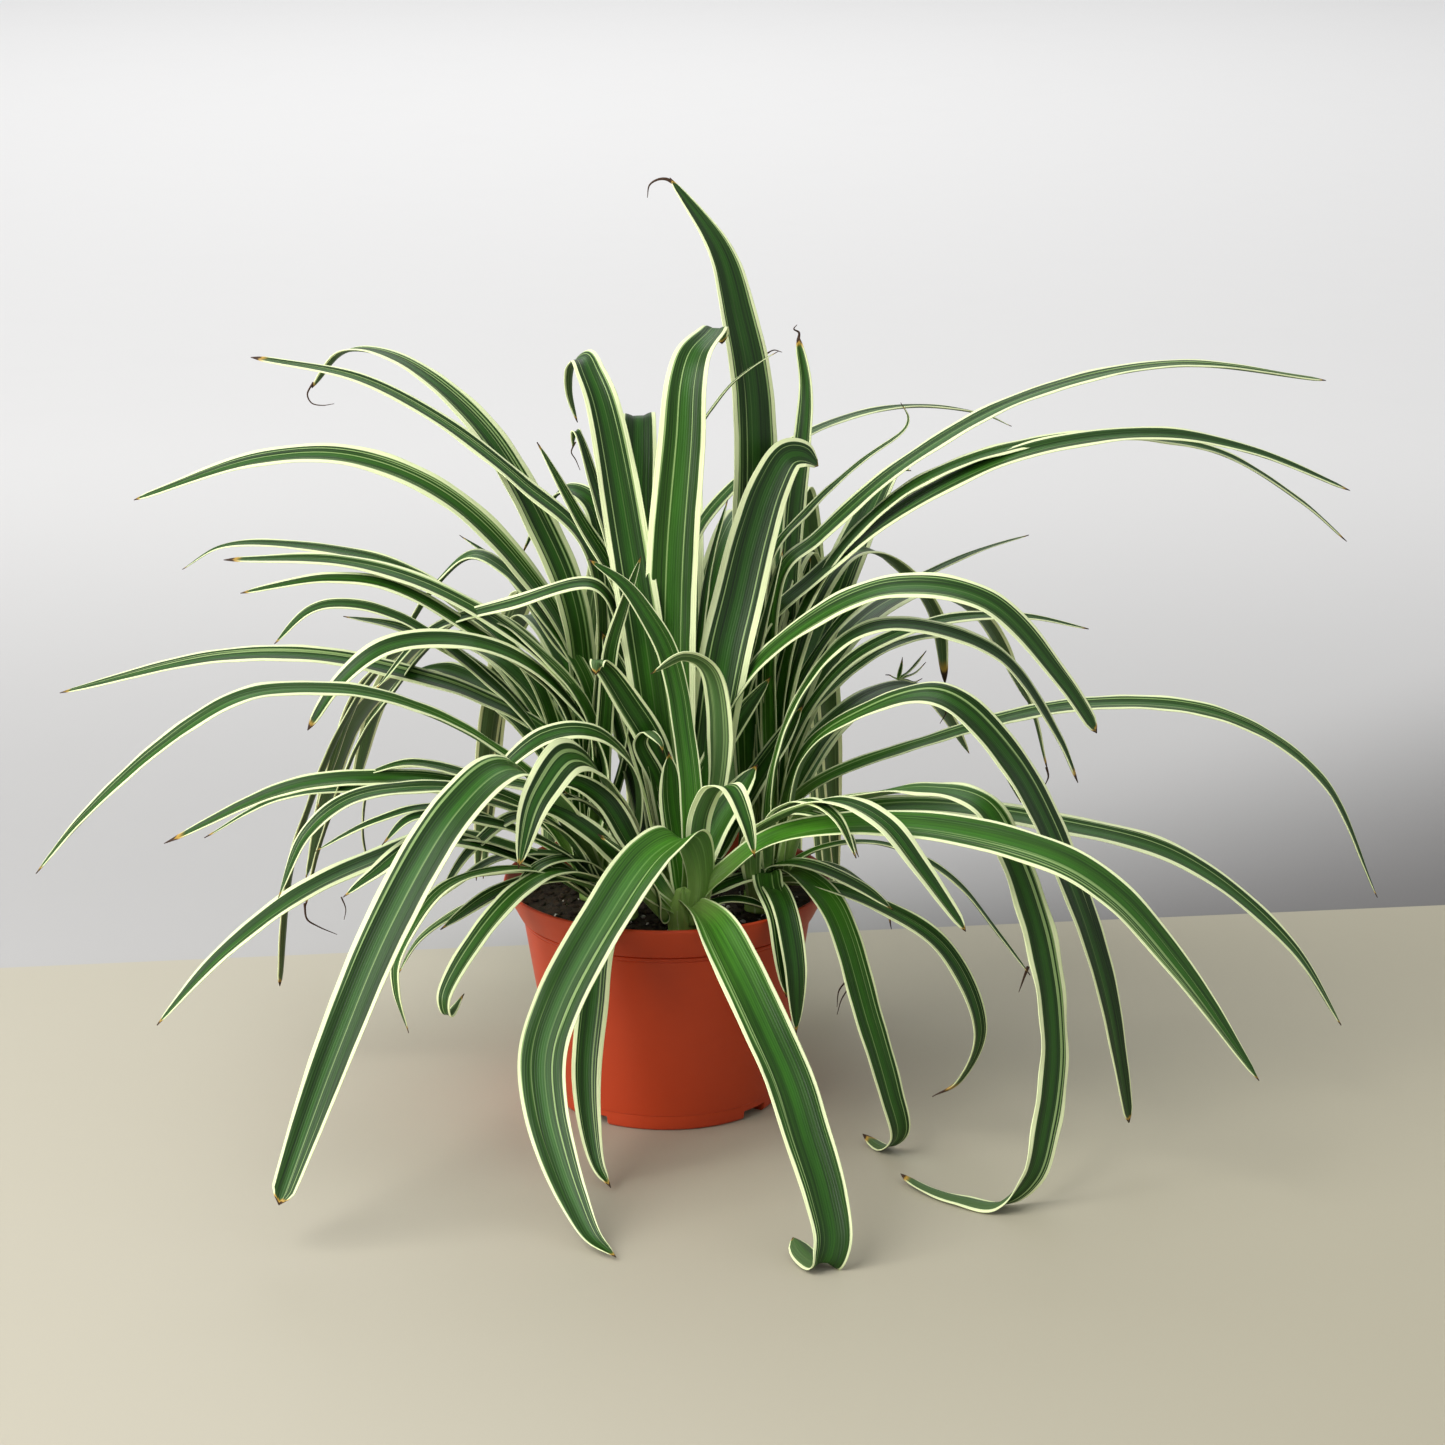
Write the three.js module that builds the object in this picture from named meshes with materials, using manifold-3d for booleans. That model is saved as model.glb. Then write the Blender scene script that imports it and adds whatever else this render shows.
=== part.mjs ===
// A spider plant in a six-inch plastic nursery pot.
//
// Millimetres, +Z up. The origin is the middle of the pot's underside, and the
// plant's front faces -Y. The pot holds soil, and eight crowns stand in the
// soil, each a rosette of long arching blades grown together at its heart.

import * as THREE from 'three';
import { mergeVertices } from 'three/addons/utils/BufferGeometryUtils.js';
import Module from 'manifold-3d';

const wasm = await Module();
wasm.setup();

// ---- driving dimensions -------------------------------------------------

const pot = {
  height: 108,
  rimRadius: 77.5,
  baseRadius: 53.5,
  wall: 2,
  collarHeight: 16,
  collarFootRadius: 70.2,
  wallTopRadius: 68.6,
  beadHeight: 2.4,
  beadProud: 0.7,
  floorLevel: 6,
  floorThickness: 2,
  footWidth: 7,
  padRadius: 16,
  sides: 44,
};

const drain = { count: 4, width: 15, height: 4.5, heading: 50 };

const soil = { level: 97, sides: 40, clearance: 0.3 };

const stub = { radius: 5.5, depth: 14, sides: 12 };

const heart = { footRadius: 11, topRadius: 5, height: 34, sides: 8, spread: 8 };

const goldenAngle = Math.PI * (3 - Math.sqrt(5));

const blade = {
  thickness: 1.0,
  rootWidth: 0.55,
  swellEnd: 0.22,
  taperStart: 0.4,
  taperPower: 3.2,
  tipWidth: 0.07,
  ringStep: 84,
  ringTurn: 0.64,
  spreadPoints: 3,
};

const finishes = {
  pot: { color: 0xb5452a, roughness: 0.45, metalness: 0 },
  soil: { color: 0x2b211b, roughness: 0.95, metalness: 0 },
  leaf: { color: 0x3c6a34, roughness: 0.42, metalness: 0 },
};

// ---- the blades of each crown -------------------------------------------
//
// leaf(heading, width, path, tip): the heading is in degrees round +Z from +X.
// Each point of the path is [out, up] or [out, up, side] from the middle of the
// crown at soil level, and side is to the left of the heading. The tip is the
// share of the width that is left at the end, larger on a blade that was cut.
// The turn is how far, in degrees, the blade has rolled about its own line by
// the middle of its length, and the curl is how far by its end.

function leaf(heading, width, path, { tip = blade.tipWidth, turn = 0, curl = turn } = {}) {
  return { heading, width, path, tip, turn, curl };
}

// An even arch: it climbs to its height a little past half its reach, and then
// falls to the level of its end.
function arch(heading, width, reach, height, end) {
  const climb = [[0.06, 0.4], [0.24, 0.84], [0.52, 1]];
  const fall = [[0.8, 0.3], [1, 1]];
  return leaf(heading, width, [
    ...climb.map(([out, up]) => [out * reach, up * height]),
    ...fall.map(([out, down]) => [out * reach, height + down * (end - height)]),
  ]);
}

const cut = { tip: 0.45 };

const crowns = [
  {
    name: 'crown_front', x: 8, y: -48,
    leaves: [
      leaf(-22, 21, [
        [9, 19], [22, 33], [46, 52], [106, 65], [177, 58], [207, 43], [237, 13], [275, -35],
      ], { turn: 22 }),
      leaf(256, 23, [
        [1, 28, 4], [12, 51, 2], [28, 48, -8], [58, 21, -25], [84, -9, -38], [99, -28, -41],
        [113, -47, -36], [126, -64, -27], [138, -80, -16], [149, -91, -5], [159, -95, 8],
      ]),
      leaf(252, 15, [
        [20, 27, -14], [39, 10, -24], [50, -22, -28], [59, -50, -28], [67, -72, -24],
        [76, -89, -17], [85, -95, -8],
      ]),
      leaf(286, 23, [
        [10, 17, -4], [33, 17, 1], [59, 6, 6], [94, -16, 11], [122, -31, 13], [143, -48, 14],
        [162, -68, 16], [176, -85, 15], [178, -93, 11], [168, -94, 7], [152, -91, 5],
      ], { tip: 0.35 }),
      leaf(112, 11, [
        [3, 39, -4], [10, 65, -7], [20, 92, -8], [25, 110, -7], [29, 129, -3], [32, 145, 5],
        [36, 160, 15], [42, 172, 30],
      ]),
      leaf(190, 13, [[10, 8, 2], [15, 25, 4], [26, 39, 4], [41, 52, 5]], cut),
      leaf(280, 11, [[4, 52, 1], [9, 66, 6], [15, 74, 12], [23, 76, 18], [30, 64, 23], [33, 45, 27]]),
    ],
  },
  {
    name: 'crown_centre', x: 8, y: -5,
    leaves: [
      leaf(140, 20, [
        [9, 100, 12], [24, 175, 11], [42, 235, 7], [54, 249, 2], [64, 254, -4], [75, 248, -9],
        [80, 234, -13], [78, 219, -16],
      ], { turn: -48, curl: -8 }),
      leaf(150, 14, [[22, 127], [36, 168], [48, 199], [57, 222], [64, 212, -8]]),
      leaf(160, 14, [[16, 103], [32, 150], [52, 184], [72, 218]], { turn: -10 }),
      leaf(80, 24, [
        [0, 80, 2], [2, 167, 3], [5, 224, 1], [10, 249], [20, 261, -2], [36, 267, -7],
        [50, 267, -8], [58, 258, -9],
      ], { tip: 0.3 }),
      leaf(100, 14, [
        [-5, 43, 8], [-7, 81, 16], [-9, 102, 27], [-13, 121, 39], [-16, 125, 43], [-17, 119, 44],
      ], { tip: 0.4 }),
      leaf(100, 9, [[-5, 41, 9], [-7, 66, 16], [-9, 83, 22], [-13, 89, 19], [-18, 85, 14], [-19, 80, 13]]),
      leaf(-14, 20, [
        [25, 103], [55, 137], [98, 160], [143, 156], [179, 120], [195, 97],
      ], { ...cut, turn: 20 }),
      leaf(30, 24, [
        [10, 78, -4], [18, 122, -6], [28, 145, -3], [40, 173, 3], [52, 196, 7], [62, 208, 8],
        [70, 208, 7], [77, 202, 5],
      ], { tip: 0.5, turn: 52 }),
      leaf(85, 11, [[-1, 51, -8], [1, 75, -17], [3, 95, -29], [5, 111, -41]]),
      leaf(180, 15, [
        [-14, 54, 8], [-16, 101, 12], [-11, 121, 20], [0, 129, 30], [15, 124, 40],
      ], { turn: 50 }),
    ],
  },
  {
    name: 'crown_left', x: -34, y: 0,
    leaves: [
      leaf(180, 16, [[2, 89], [29, 124], [76, 154], [117, 166], [171, 167]], { tip: 0.2, turn: -12 }),
      leaf(192, 12, [
        [26, 81], [58, 119], [91, 144], [116, 152], [132, 150], [149, 135],
      ], { tip: 0.2, turn: -16 }),
      leaf(186, 13, [[25, 80], [58, 118], [88, 136], [116, 143]], { turn: -18 }),
      leaf(176, 13, [
        [16, 76], [54, 100], [91, 111], [129, 118], [176, 117], [253, 98],
      ], { tip: 0.15, turn: -20 }),
      leaf(182, 11, [[26, 42], [63, 58], [101, 62], [143, 58], [203, 31]], { turn: -26 }),
      leaf(174, 6, [[26, 36], [64, 50], [107, 52], [151, 46], [188, 25]], { turn: -20 }),
      leaf(202, 16, [
        [-3, 69], [12, 98], [36, 122], [68, 135], [102, 135], [124, 121], [140, 100],
      ], { tip: 0.25, turn: -20 }),
      leaf(186, 7, [[26, 28], [73, 48], [106, 42], [132, 29]], { turn: -14 }),
      leaf(180, 9, [[16, 50], [54, 61], [87, 68], [110, 62]], { turn: -16 }),
      leaf(184, 12, [[16, 99], [57, 134], [94, 156], [122, 160], [163, 154]], { tip: 0.2, turn: -18 }),
      leaf(182, 12, [[-16, 80], [-14, 128], [-1, 154], [37, 146], [76, 133], [102, 105]], { turn: -16 }),
      leaf(176, 17, [
        [1, 88, -2], [23, 119, -3], [44, 135, -5], [62, 136, -6], [80, 120, -6],
        [98, 96, -7], [112, 75, -8], [124, 46, -9], [134, 18, -10], [141, -11, -10],
      ], { tip: 0.2 }),
      leaf(100, 8, [[-2, 70, -1], [-9, 99, -3], [-14, 127, -6], [-17, 149, -12], [-18, 172, -20]]),
    ],
  },
  {
    name: 'crown_front_left', x: -22, y: -30,
    leaves: [
      leaf(196, 17, [
        [28, 57], [61, 91], [103, 115], [140, 124], [176, 123], [213, 103], [250, 72], [271, 49],
      ], { turn: -6 }),
      leaf(208, 15, [[31, 49], [76, 75], [111, 81], [138, 79], [158, 66], [172, 39]], { turn: -6 }),
      leaf(205, 9, [[25, 33], [60, 38], [83, 29], [95, 22]]),
      leaf(198, 8, [[29, 28], [48, 25], [73, 15], [97, 1], [108, -15]]),
      leaf(206, 17, [[41, 36], [86, 54], [120, 49], [159, 37], [198, 14], [229, -14]], { turn: -6 }),
      leaf(214, 14, [[44, 34], [102, 58], [134, 47], [148, 40]], { turn: -16 }),
      leaf(208, 10, [[31, 49], [54, 60], [77, 46], [94, 25]], { turn: -6 }),
      leaf(196, 8, [[14, 20], [32, 26], [50, 29], [69, 28]]),
      leaf(216, 12, [[12, 20], [36, 28], [67, 28], [100, 16]], { turn: -8 }),
      leaf(212, 10, [[32, 40], [74, 62], [110, 69], [125, 59]], { turn: -16 }),
      leaf(228, 22, [
        [40, 68], [72, 91], [108, 80], [150, 39], [185, -12], [219, -75, -2],
      ], { ...cut, turn: -22 }),
      leaf(218, 9, [[32, 28], [69, 40], [102, 36], [126, 9], [127, -6], [121, -28]]),
      leaf(206, 14, [[-10, 42], [-8, 72], [12, 93], [37, 95], [60, 81], [69, 70]], { turn: -22 }),
      leaf(240, 20, [[-4, 46], [20, 80], [46, 92], [66, 84], [77, 75], [89, 51]], { turn: -40 }),
      leaf(200, 10, [[0, 42], [14, 58], [29, 67]]),
      leaf(206, 12, [[-2, 34], [10, 54], [26, 64], [42, 60]]),
      leaf(222, 11, [[10, 22], [26, 36], [47, 38], [66, 28]]),
      leaf(230, 13, [[42, 35], [70, 33], [100, 17], [121, -4], [119, -13], [108, -6]]),
    ],
  },
  {
    name: 'crown_right', x: 44, y: -18,
    leaves: [
      leaf(-8, 15, [
        [5, 60], [15, 99], [40, 134], [65, 142], [110, 129], [138, 91], [148, 69],
      ], { tip: 0.2, turn: 12 }),
      leaf(-22, 22, [
        [20, 77], [44, 99], [87, 115], [122, 88], [152, 34, -1], [170, -14, -3], [179, -52, -5],
        [183, -80, -2],
      ], { tip: 0.3, turn: 14 }),
      leaf(-50, 15, [
        [18, 45, -13], [43, 64, -14], [73, 75, -16], [102, 71, -15], [122, 52, -10], [140, 27, -1],
      ], { tip: 0.3 }),
      leaf(312, 19, [
        [20, 51, 7], [47, 63, 19], [76, 71, 31], [106, 69, 39], [122, 46, 43], [141, 8, 43],
        [158, -34, 34], [168, -63, 19], [173, -84, 4], [168, -94, -11], [150, -95, -18],
        [130, -95, -20], [113, -94, -18],
      ], { tip: 0.2 }),
      leaf(290, 14, [[10, 22], [28, 21, -6], [44, 12, -7], [52, -8, -8], [54, -24, -8]]),
      leaf(288, 12, [[19, 20], [42, 17, -2], [57, -8, -3], [62, -39, -4]]),
      leaf(312, 17, [
        [14, 22], [45, 14], [77, -34, -3], [90, -66, -2], [93, -86, 1], [84, -95, 1], [67, -94, 3],
      ], { tip: 0.2 }),
      leaf(334, 12, [[15, 18], [56, 14], [94, -5], [112, -42], [102, -69], [89, -79]], { turn: 14 }),
      leaf(-52, 9, [[21, 52, -12], [38, 65, -13], [59, 71, -16], [79, 68, -19], [90, 53, -18]]),
      leaf(-16, 6, [[29, 33], [58, 38], [91, 25], [117, -4], [130, -20]]),
    ],
  },
  {
    name: 'crown_back', x: 8, y: 38,
    leaves: [
      leaf(100, 19, [
        [3, 116, 14], [8, 179, 20], [17, 207, 18], [34, 220, 15], [46, 206, 13],
      ], { tip: 0.75 }),
      leaf(150, 16, [
        [19, 97, 8], [32, 145, 9], [45, 181, 8], [59, 186, 9], [69, 175, 12], [80, 152, 16],
      ], { turn: -44, curl: 0 }),
      leaf(160, 8, [[30, 76, 7], [59, 109, 9], [90, 149, 9], [110, 162, 10]], { turn: -12 }),
      leaf(30, 10, [[5, 156], [28, 187], [74, 211], [124, 217], [171, 208], [188, 200]]),
      arch(90, 20, 236, 176, -78),
      arch(98, 16, 190, 104, -50),
      arch(82, 18, 216, 128, -80),
      arch(105, 17, 214, 150, -72),
      arch(74, 17, 232, 152, -76),
      arch(91, 14, 236, 70, -70),
      arch(112, 13, 118, 176, -40),
    ],
  },
  {
    name: 'crown_back_left', x: -34, y: 26,
    leaves: [
      leaf(150, 19, [
        [10, 130], [30, 175], [62, 218], [107, 245], [138, 246], [158, 226],
      ], { tip: 0.15, turn: -18, curl: 8 }),
      leaf(166, 13, [[0, 163], [35, 196], [74, 223], [113, 241], [167, 249]], { tip: 0.3, turn: -12 }),
      leaf(174, 17, [
        [8, 106], [35, 155], [72, 191], [115, 207], [158, 205], [219, 184],
      ], { tip: 0.15, turn: -24 }),
      leaf(160, 9, [[28, 98], [63, 130], [104, 149], [162, 154], [194, 150], [215, 137]], { turn: -20 }),
      leaf(170, 8, [[32, 34], [80, 55], [108, 48], [115, 23], [112, -2]], { turn: -10 }),
      arch(132, 18, 232, 82, -56),
      arch(108, 15, 205, 118, -64),
      arch(120, 14, 126, 118, -36),
      arch(98, 17, 212, 106, -78),
      arch(126, 16, 226, 98, -20),
      arch(144, 13, 176, 108, 4),
      leaf(172, 18, [
        [2, 96, 0], [23, 131, 0], [42, 153, 1], [58, 160, 0], [75, 146, -1],
        [94, 117, -1], [119, 81, 0], [137, 41, 0], [150, 0, 1], [157, -60, 2],
      ], cut),
    ],
  },
  {
    name: 'crown_back_right', x: 44, y: 28,
    leaves: [
      leaf(120, 24, [
        [6, 110], [10, 166, -3], [17, 208, -8], [24, 240, -10], [34, 269, -9], [50, 297, -9],
        [86, 328, -2],
      ]),
      leaf(35, 17, [
        [22, 114, 4], [30, 172, 10], [35, 208, 12], [39, 236, 15], [34, 260, 15],
      ], { tip: 0.3 }),
      leaf(14, 16, [
        [10, 153], [28, 168], [70, 200], [128, 229], [204, 242], [284, 230],
      ], { tip: 0.25, turn: 4 }),
      leaf(4, 18, [
        [1, 120], [27, 149], [68, 182], [124, 208], [188, 216], [234, 207], [282, 187],
      ], { tip: 0.2, turn: 10 }),
      leaf(8, 11, [
        [20, 130], [67, 188], [139, 212], [217, 205], [263, 178], [287, 157],
      ], { tip: 0.2, turn: 12 }),
      leaf(-6, 13, [[20, 43], [89, 75], [155, 92], [221, 88], [267, 58], [296, 0]], { turn: 14 }),
      leaf(-10, 20, [[20, 26], [69, 40], [146, 35], [203, 21], [255, -19], [281, -58]], { turn: 10 }),
      leaf(40, 18, [[10, 90], [38, 142], [60, 153], [82, 147], [115, 113], [123, 75]], { tip: 0.2 }),
      leaf(55, 22, [[15, 60], [59, 118], [89, 155], [119, 179], [136, 176]]),
      leaf(24, 6, [[20, 90], [52, 130], [85, 141], [113, 150], [145, 156]], { turn: 10 }),
      leaf(10, 10, [[15, 70], [44, 108], [85, 124], [128, 125], [162, 117]], { turn: 14 }),
      leaf(20, 8, [[20, 70], [73, 110], [115, 108], [140, 79], [153, 38]], { tip: 0.2 }),
      arch(40, 16, 178, 80, 2),
      arch(52, 17, 236, 116, 34),
      arch(76, 17, 150, 176, -58),
      arch(60, 15, 232, 62, 2),
      arch(66, 14, 104, 150, -40),
      arch(72, 15, 130, 150, -64),
    ],
  },
];

// ---- joining and cutting -------------------------------------------------

function toSolid(geometry) {
  const bare = geometry.clone();
  bare.deleteAttribute('normal');
  bare.deleteAttribute('uv');
  const merged = mergeVertices(bare, 1e-4);
  return new wasm.Manifold(new wasm.Mesh({
    numProp: 3,
    vertProperties: new Float32Array(merged.attributes.position.array),
    triVerts: new Uint32Array(merged.index.array),
  }));
}

function toGeometry(solid) {
  const { vertProperties, triVerts, numProp } = solid.getMesh();
  const geometry = new THREE.BufferGeometry();
  geometry.setAttribute('position', new THREE.BufferAttribute(new Float32Array(vertProperties), numProp));
  geometry.setIndex(new THREE.BufferAttribute(new Uint32Array(triVerts), 1));
  geometry.computeVertexNormals();
  return geometry;
}

function turned(profile, sides) {
  const points = profile.map(([radius, level]) => new THREE.Vector2(radius, level));
  return new THREE.LatheGeometry(points, sides).rotateX(Math.PI / 2);
}

// ---- the pot --------------------------------------------------------------

// The radius of the pot's outer wall, below the collar.
function wallRadius(level) {
  const wallTop = pot.height - pot.collarHeight - pot.beadHeight;
  return pot.baseRadius + (pot.wallTopRadius - pot.baseRadius) * (level / wallTop);
}

// The radius of the hollow inside the pot.
function boreRadius(level) {
  const collarFoot = pot.height - pot.collarHeight;
  if (level <= collarFoot) return wallRadius(level) - pot.wall;
  const climbed = (level - collarFoot) / pot.collarHeight;
  const foot = wallRadius(collarFoot) - pot.wall;
  return foot + (pot.rimRadius - pot.wall - foot) * climbed;
}

function potSolid() {
  const beadFoot = pot.height - pot.collarHeight - pot.beadHeight;
  const collarFoot = pot.height - pot.collarHeight;
  const floorTop = pot.floorLevel + pot.floorThickness;
  const footInner = pot.baseRadius - pot.footWidth;
  const edge = 1;
  const shell = toSolid(turned([
    [0, 0],
    [pot.padRadius, 0],
    [pot.padRadius + edge, pot.floorLevel],
    [footInner - edge, pot.floorLevel],
    [footInner, 0],
    [pot.baseRadius - edge, 0],
    [wallRadius(edge), edge],
    [wallRadius(beadFoot), beadFoot],
    [wallRadius(beadFoot) + pot.beadProud, beadFoot + 0.3],
    [wallRadius(collarFoot) + pot.beadProud, collarFoot - 0.3],
    [pot.collarFootRadius, collarFoot],
    [pot.rimRadius - 0.4, pot.height - 2.2],
    [pot.rimRadius, pot.height - 0.8],
    [pot.rimRadius - 0.8, pot.height],
    [pot.rimRadius - pot.wall, pot.height - 0.6],
    [boreRadius(collarFoot), collarFoot],
    [boreRadius(floorTop), floorTop],
    [0, floorTop],
  ], pot.sides));
  const notchReach = pot.footWidth + 6;
  const notches = [];
  for (let i = 0; i < drain.count; i += 1) {
    const notch = new THREE.BoxGeometry(notchReach, drain.width, 2 * drain.height);
    notch.translate(pot.baseRadius - pot.footWidth / 2, 0, 0);
    notch.rotateZ(THREE.MathUtils.degToRad(drain.heading + (i * 360) / drain.count));
    notches.push(toSolid(notch));
  }
  return notches.reduce((body, notch) => body.subtract(notch), shell);
}

// ---- the soil -------------------------------------------------------------

function soilSolid() {
  const floorTop = pot.floorLevel + pot.floorThickness + soil.clearance;
  const collarFoot = pot.height - pot.collarHeight;
  // The pot and the soil are both many-sided, so the gap is kept at the flats.
  const flat = Math.cos(Math.PI / pot.sides);
  const fit = (level) => boreRadius(level) * flat - soil.clearance;
  const heap = toSolid(turned([
    [0, floorTop],
    [fit(floorTop), floorTop],
    [fit(collarFoot), collarFoot],
    [fit(soil.level - 1), soil.level - 1],
    [fit(soil.level) - 12, soil.level],
    [0, soil.level],
  ], soil.sides));
  const holeRadius = stub.radius + soil.clearance;
  const holeDepth = stub.depth + soil.clearance;
  return crowns.reduce((body, { x, y }) => {
    const hole = new THREE.CylinderGeometry(holeRadius, holeRadius, 2 * holeDepth, stub.sides);
    hole.rotateX(Math.PI / 2).translate(x, y, soil.level);
    return body.subtract(toSolid(hole));
  }, heap);
}

// ---- a blade --------------------------------------------------------------

// The line that the blade's keel follows, from inside the crown's heart.
function keel({ heading, path }, root) {
  const angle = THREE.MathUtils.degToRad(heading);
  const out = new THREE.Vector3(Math.cos(angle), Math.sin(angle), 0);
  const left = new THREE.Vector3(-out.y, out.x, 0);
  const points = [root, ...path].map(([reach, up, side = 0], order) => new THREE.Vector3(0, 0, up)
    .addScaledVector(out, reach)
    .addScaledVector(left, side + root[2] * (order ? Math.max(0, 1 - order / blade.spreadPoints) : 0)));
  return { left, curve: new THREE.CatmullRomCurve3(points, false, 'centripetal') };
}

// Shares of the curve where a cross section goes: closer where it bends.
function stations(curve) {
  const fine = 160;
  const cost = [0];
  for (let i = 1; i <= fine; i += 1) {
    const step = curve.getPointAt(i / fine).distanceTo(curve.getPointAt((i - 1) / fine));
    const turn = curve.getTangentAt(i / fine).angleTo(curve.getTangentAt((i - 1) / fine));
    cost.push(cost[i - 1] + step / blade.ringStep + turn / blade.ringTurn);
  }
  const count = Math.ceil(cost[fine]);
  const shares = [];
  for (let ring = 0, i = 0; ring <= count; ring += 1) {
    const wanted = cost[fine] * (ring / count);
    while (i < fine && cost[i] < wanted) i += 1;
    shares.push(i / fine);
  }
  return shares;
}

function widthAt(share, { width, tip }) {
  const swell = THREE.MathUtils.smoothstep(share, 0, blade.swellEnd);
  const taper = Math.max(0, (share - blade.taperStart) / (1 - blade.taperStart)) ** blade.taperPower;
  return width * (blade.rootWidth + (1 - blade.rootWidth) * swell) * (1 - (1 - tip) * taper);
}

// Four corners round the blade: its left and right edges, above and below.
function section(curve, left, share, spec) {
  const tangent = curve.getTangentAt(share);
  const first = spec.turn * Math.min(1, 2 * share);
  const last = (spec.curl - spec.turn) * Math.max(0, 2 * share - 1);
  const roll = THREE.MathUtils.degToRad(first + last);
  const across = left.clone().addScaledVector(tangent, -left.dot(tangent)).normalize()
    .applyAxisAngle(tangent, roll);
  const normal = new THREE.Vector3().crossVectors(tangent, across);
  const half = widthAt(share, spec) / 2;
  const point = curve.getPointAt(share);
  const corner = (side, face) => point.clone()
    .addScaledVector(across, side * half)
    .addScaledVector(normal, (face * blade.thickness) / 2);
  return [corner(1, 1), corner(-1, 1), corner(-1, -1), corner(1, -1)];
}

function bladeSolid(spec, root) {
  const { left, curve } = keel(spec, root);
  const rings = stations(curve).map((share) => section(curve, left, share, spec));
  const corners = rings[0].length;
  const index = [];
  for (let ring = 0; ring < rings.length - 1; ring += 1) {
    for (let k = 0; k < corners; k += 1) {
      const next = (k + 1) % corners;
      const a = ring * corners + k;
      const b = ring * corners + next;
      const c = a + corners;
      const d = b + corners;
      // The lower face takes the other diagonal, so that both faces split alike.
      if (k < 2) index.push(a, b, c, b, d, c);
      else index.push(a, d, c, a, b, d);
    }
  }
  const end = (rings.length - 1) * corners;
  index.push(0, 3, 1, 1, 3, 2);
  index.push(end, end + 1, end + 3, end + 1, end + 2, end + 3);
  const geometry = new THREE.BufferGeometry();
  geometry.setAttribute('position', new THREE.Float32BufferAttribute(
    rings.flat().flatMap((corner) => corner.toArray()), 3,
  ));
  geometry.setIndex(index);
  return toSolid(geometry);
}

// ---- a crown --------------------------------------------------------------

// The heart that the blades grow from, and the root stub under it in the soil.
function heartSolid() {
  const foot = soil.clearance;
  return toSolid(turned([
    [0, -stub.depth],
    [stub.radius, -stub.depth],
    [stub.radius, foot],
    [heart.footRadius, foot],
    [heart.footRadius, foot + heart.height * 0.4],
    [heart.topRadius, foot + heart.height],
    [0, foot + heart.height],
  ], heart.sides));
}

// The oldest blade is rooted lowest and furthest out, and the blades stand side
// by side round the heart, a golden angle apart.
function rootOf(order, count) {
  const age = 1 - order / count;
  return [2 + 4 * age, 4 + 12 * (1 - age), heart.spread * Math.sin(order * goldenAngle)];
}

function crownSolid({ leaves }) {
  const blades = leaves.map((spec, order) => bladeSolid(spec, rootOf(order, leaves.length)));
  const fused = blades.reduce((body, one) => body.add(one), heartSolid());
  // Pockets closed off between crossing blades come apart as bodies of their own.
  return fused.decompose().reduce((most, body) => (body.volume() > most.volume() ? body : most));
}

// ---- the plant in its pot --------------------------------------------------

function meshOf(name, solid, finish) {
  const mesh = new THREE.Mesh(toGeometry(solid), new THREE.MeshStandardMaterial(finish));
  mesh.name = name;
  return mesh;
}

const group = new THREE.Group();
group.add(meshOf('pot', potSolid(), finishes.pot));
group.add(meshOf('soil', soilSolid(), finishes.soil));
for (const crown of crowns) {
  const mesh = meshOf(crown.name, crownSolid(crown), finishes.leaf);
  mesh.position.set(crown.x, crown.y, soil.level);
  group.add(mesh);
}

export default group;
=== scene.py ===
"""A spider plant in a six-inch plastic nursery pot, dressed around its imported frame.

Metres, +Z up. The origin is the middle of the pot's underside, and the plant's front faces -Y.
Sizes of the object are kept in millimetres, as its maker would state them, and MM turns them
into metres where a mesh is built.
"""

from __future__ import annotations

import logging
import math
from dataclasses import dataclass, field
from typing import ClassVar, Sequence

import bpy
import numpy as np
from mathutils import Euler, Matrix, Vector, noise

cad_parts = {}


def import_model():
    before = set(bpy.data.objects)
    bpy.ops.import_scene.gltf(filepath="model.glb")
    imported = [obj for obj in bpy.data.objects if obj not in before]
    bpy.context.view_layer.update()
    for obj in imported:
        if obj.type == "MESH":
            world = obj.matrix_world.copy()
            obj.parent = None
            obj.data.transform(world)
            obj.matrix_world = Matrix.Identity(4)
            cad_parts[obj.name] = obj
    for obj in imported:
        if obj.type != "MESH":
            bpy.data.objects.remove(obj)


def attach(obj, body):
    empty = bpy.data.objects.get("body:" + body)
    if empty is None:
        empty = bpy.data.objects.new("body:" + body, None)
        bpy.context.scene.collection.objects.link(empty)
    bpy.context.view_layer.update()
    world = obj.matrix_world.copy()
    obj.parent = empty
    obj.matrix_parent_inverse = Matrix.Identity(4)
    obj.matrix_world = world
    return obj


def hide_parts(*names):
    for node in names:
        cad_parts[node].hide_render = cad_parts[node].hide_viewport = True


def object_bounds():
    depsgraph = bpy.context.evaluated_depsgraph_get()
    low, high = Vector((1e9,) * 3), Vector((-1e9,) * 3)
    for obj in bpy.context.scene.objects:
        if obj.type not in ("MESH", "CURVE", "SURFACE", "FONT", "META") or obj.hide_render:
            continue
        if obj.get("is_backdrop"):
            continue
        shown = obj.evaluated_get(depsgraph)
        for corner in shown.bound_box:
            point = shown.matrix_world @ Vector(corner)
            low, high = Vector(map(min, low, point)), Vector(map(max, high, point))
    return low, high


log = logging.getLogger("spider_plant")

MM = 0.001
GOLDEN_ANGLE = math.pi * (3 - math.sqrt(5))
SOIL_LEVEL = 97.0
BAKE_MAP = "OFBake"

Point = Sequence[float]
Colour = tuple[float, float, float]


# ---- shader values as Python expressions ---------------------------------------------------


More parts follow.
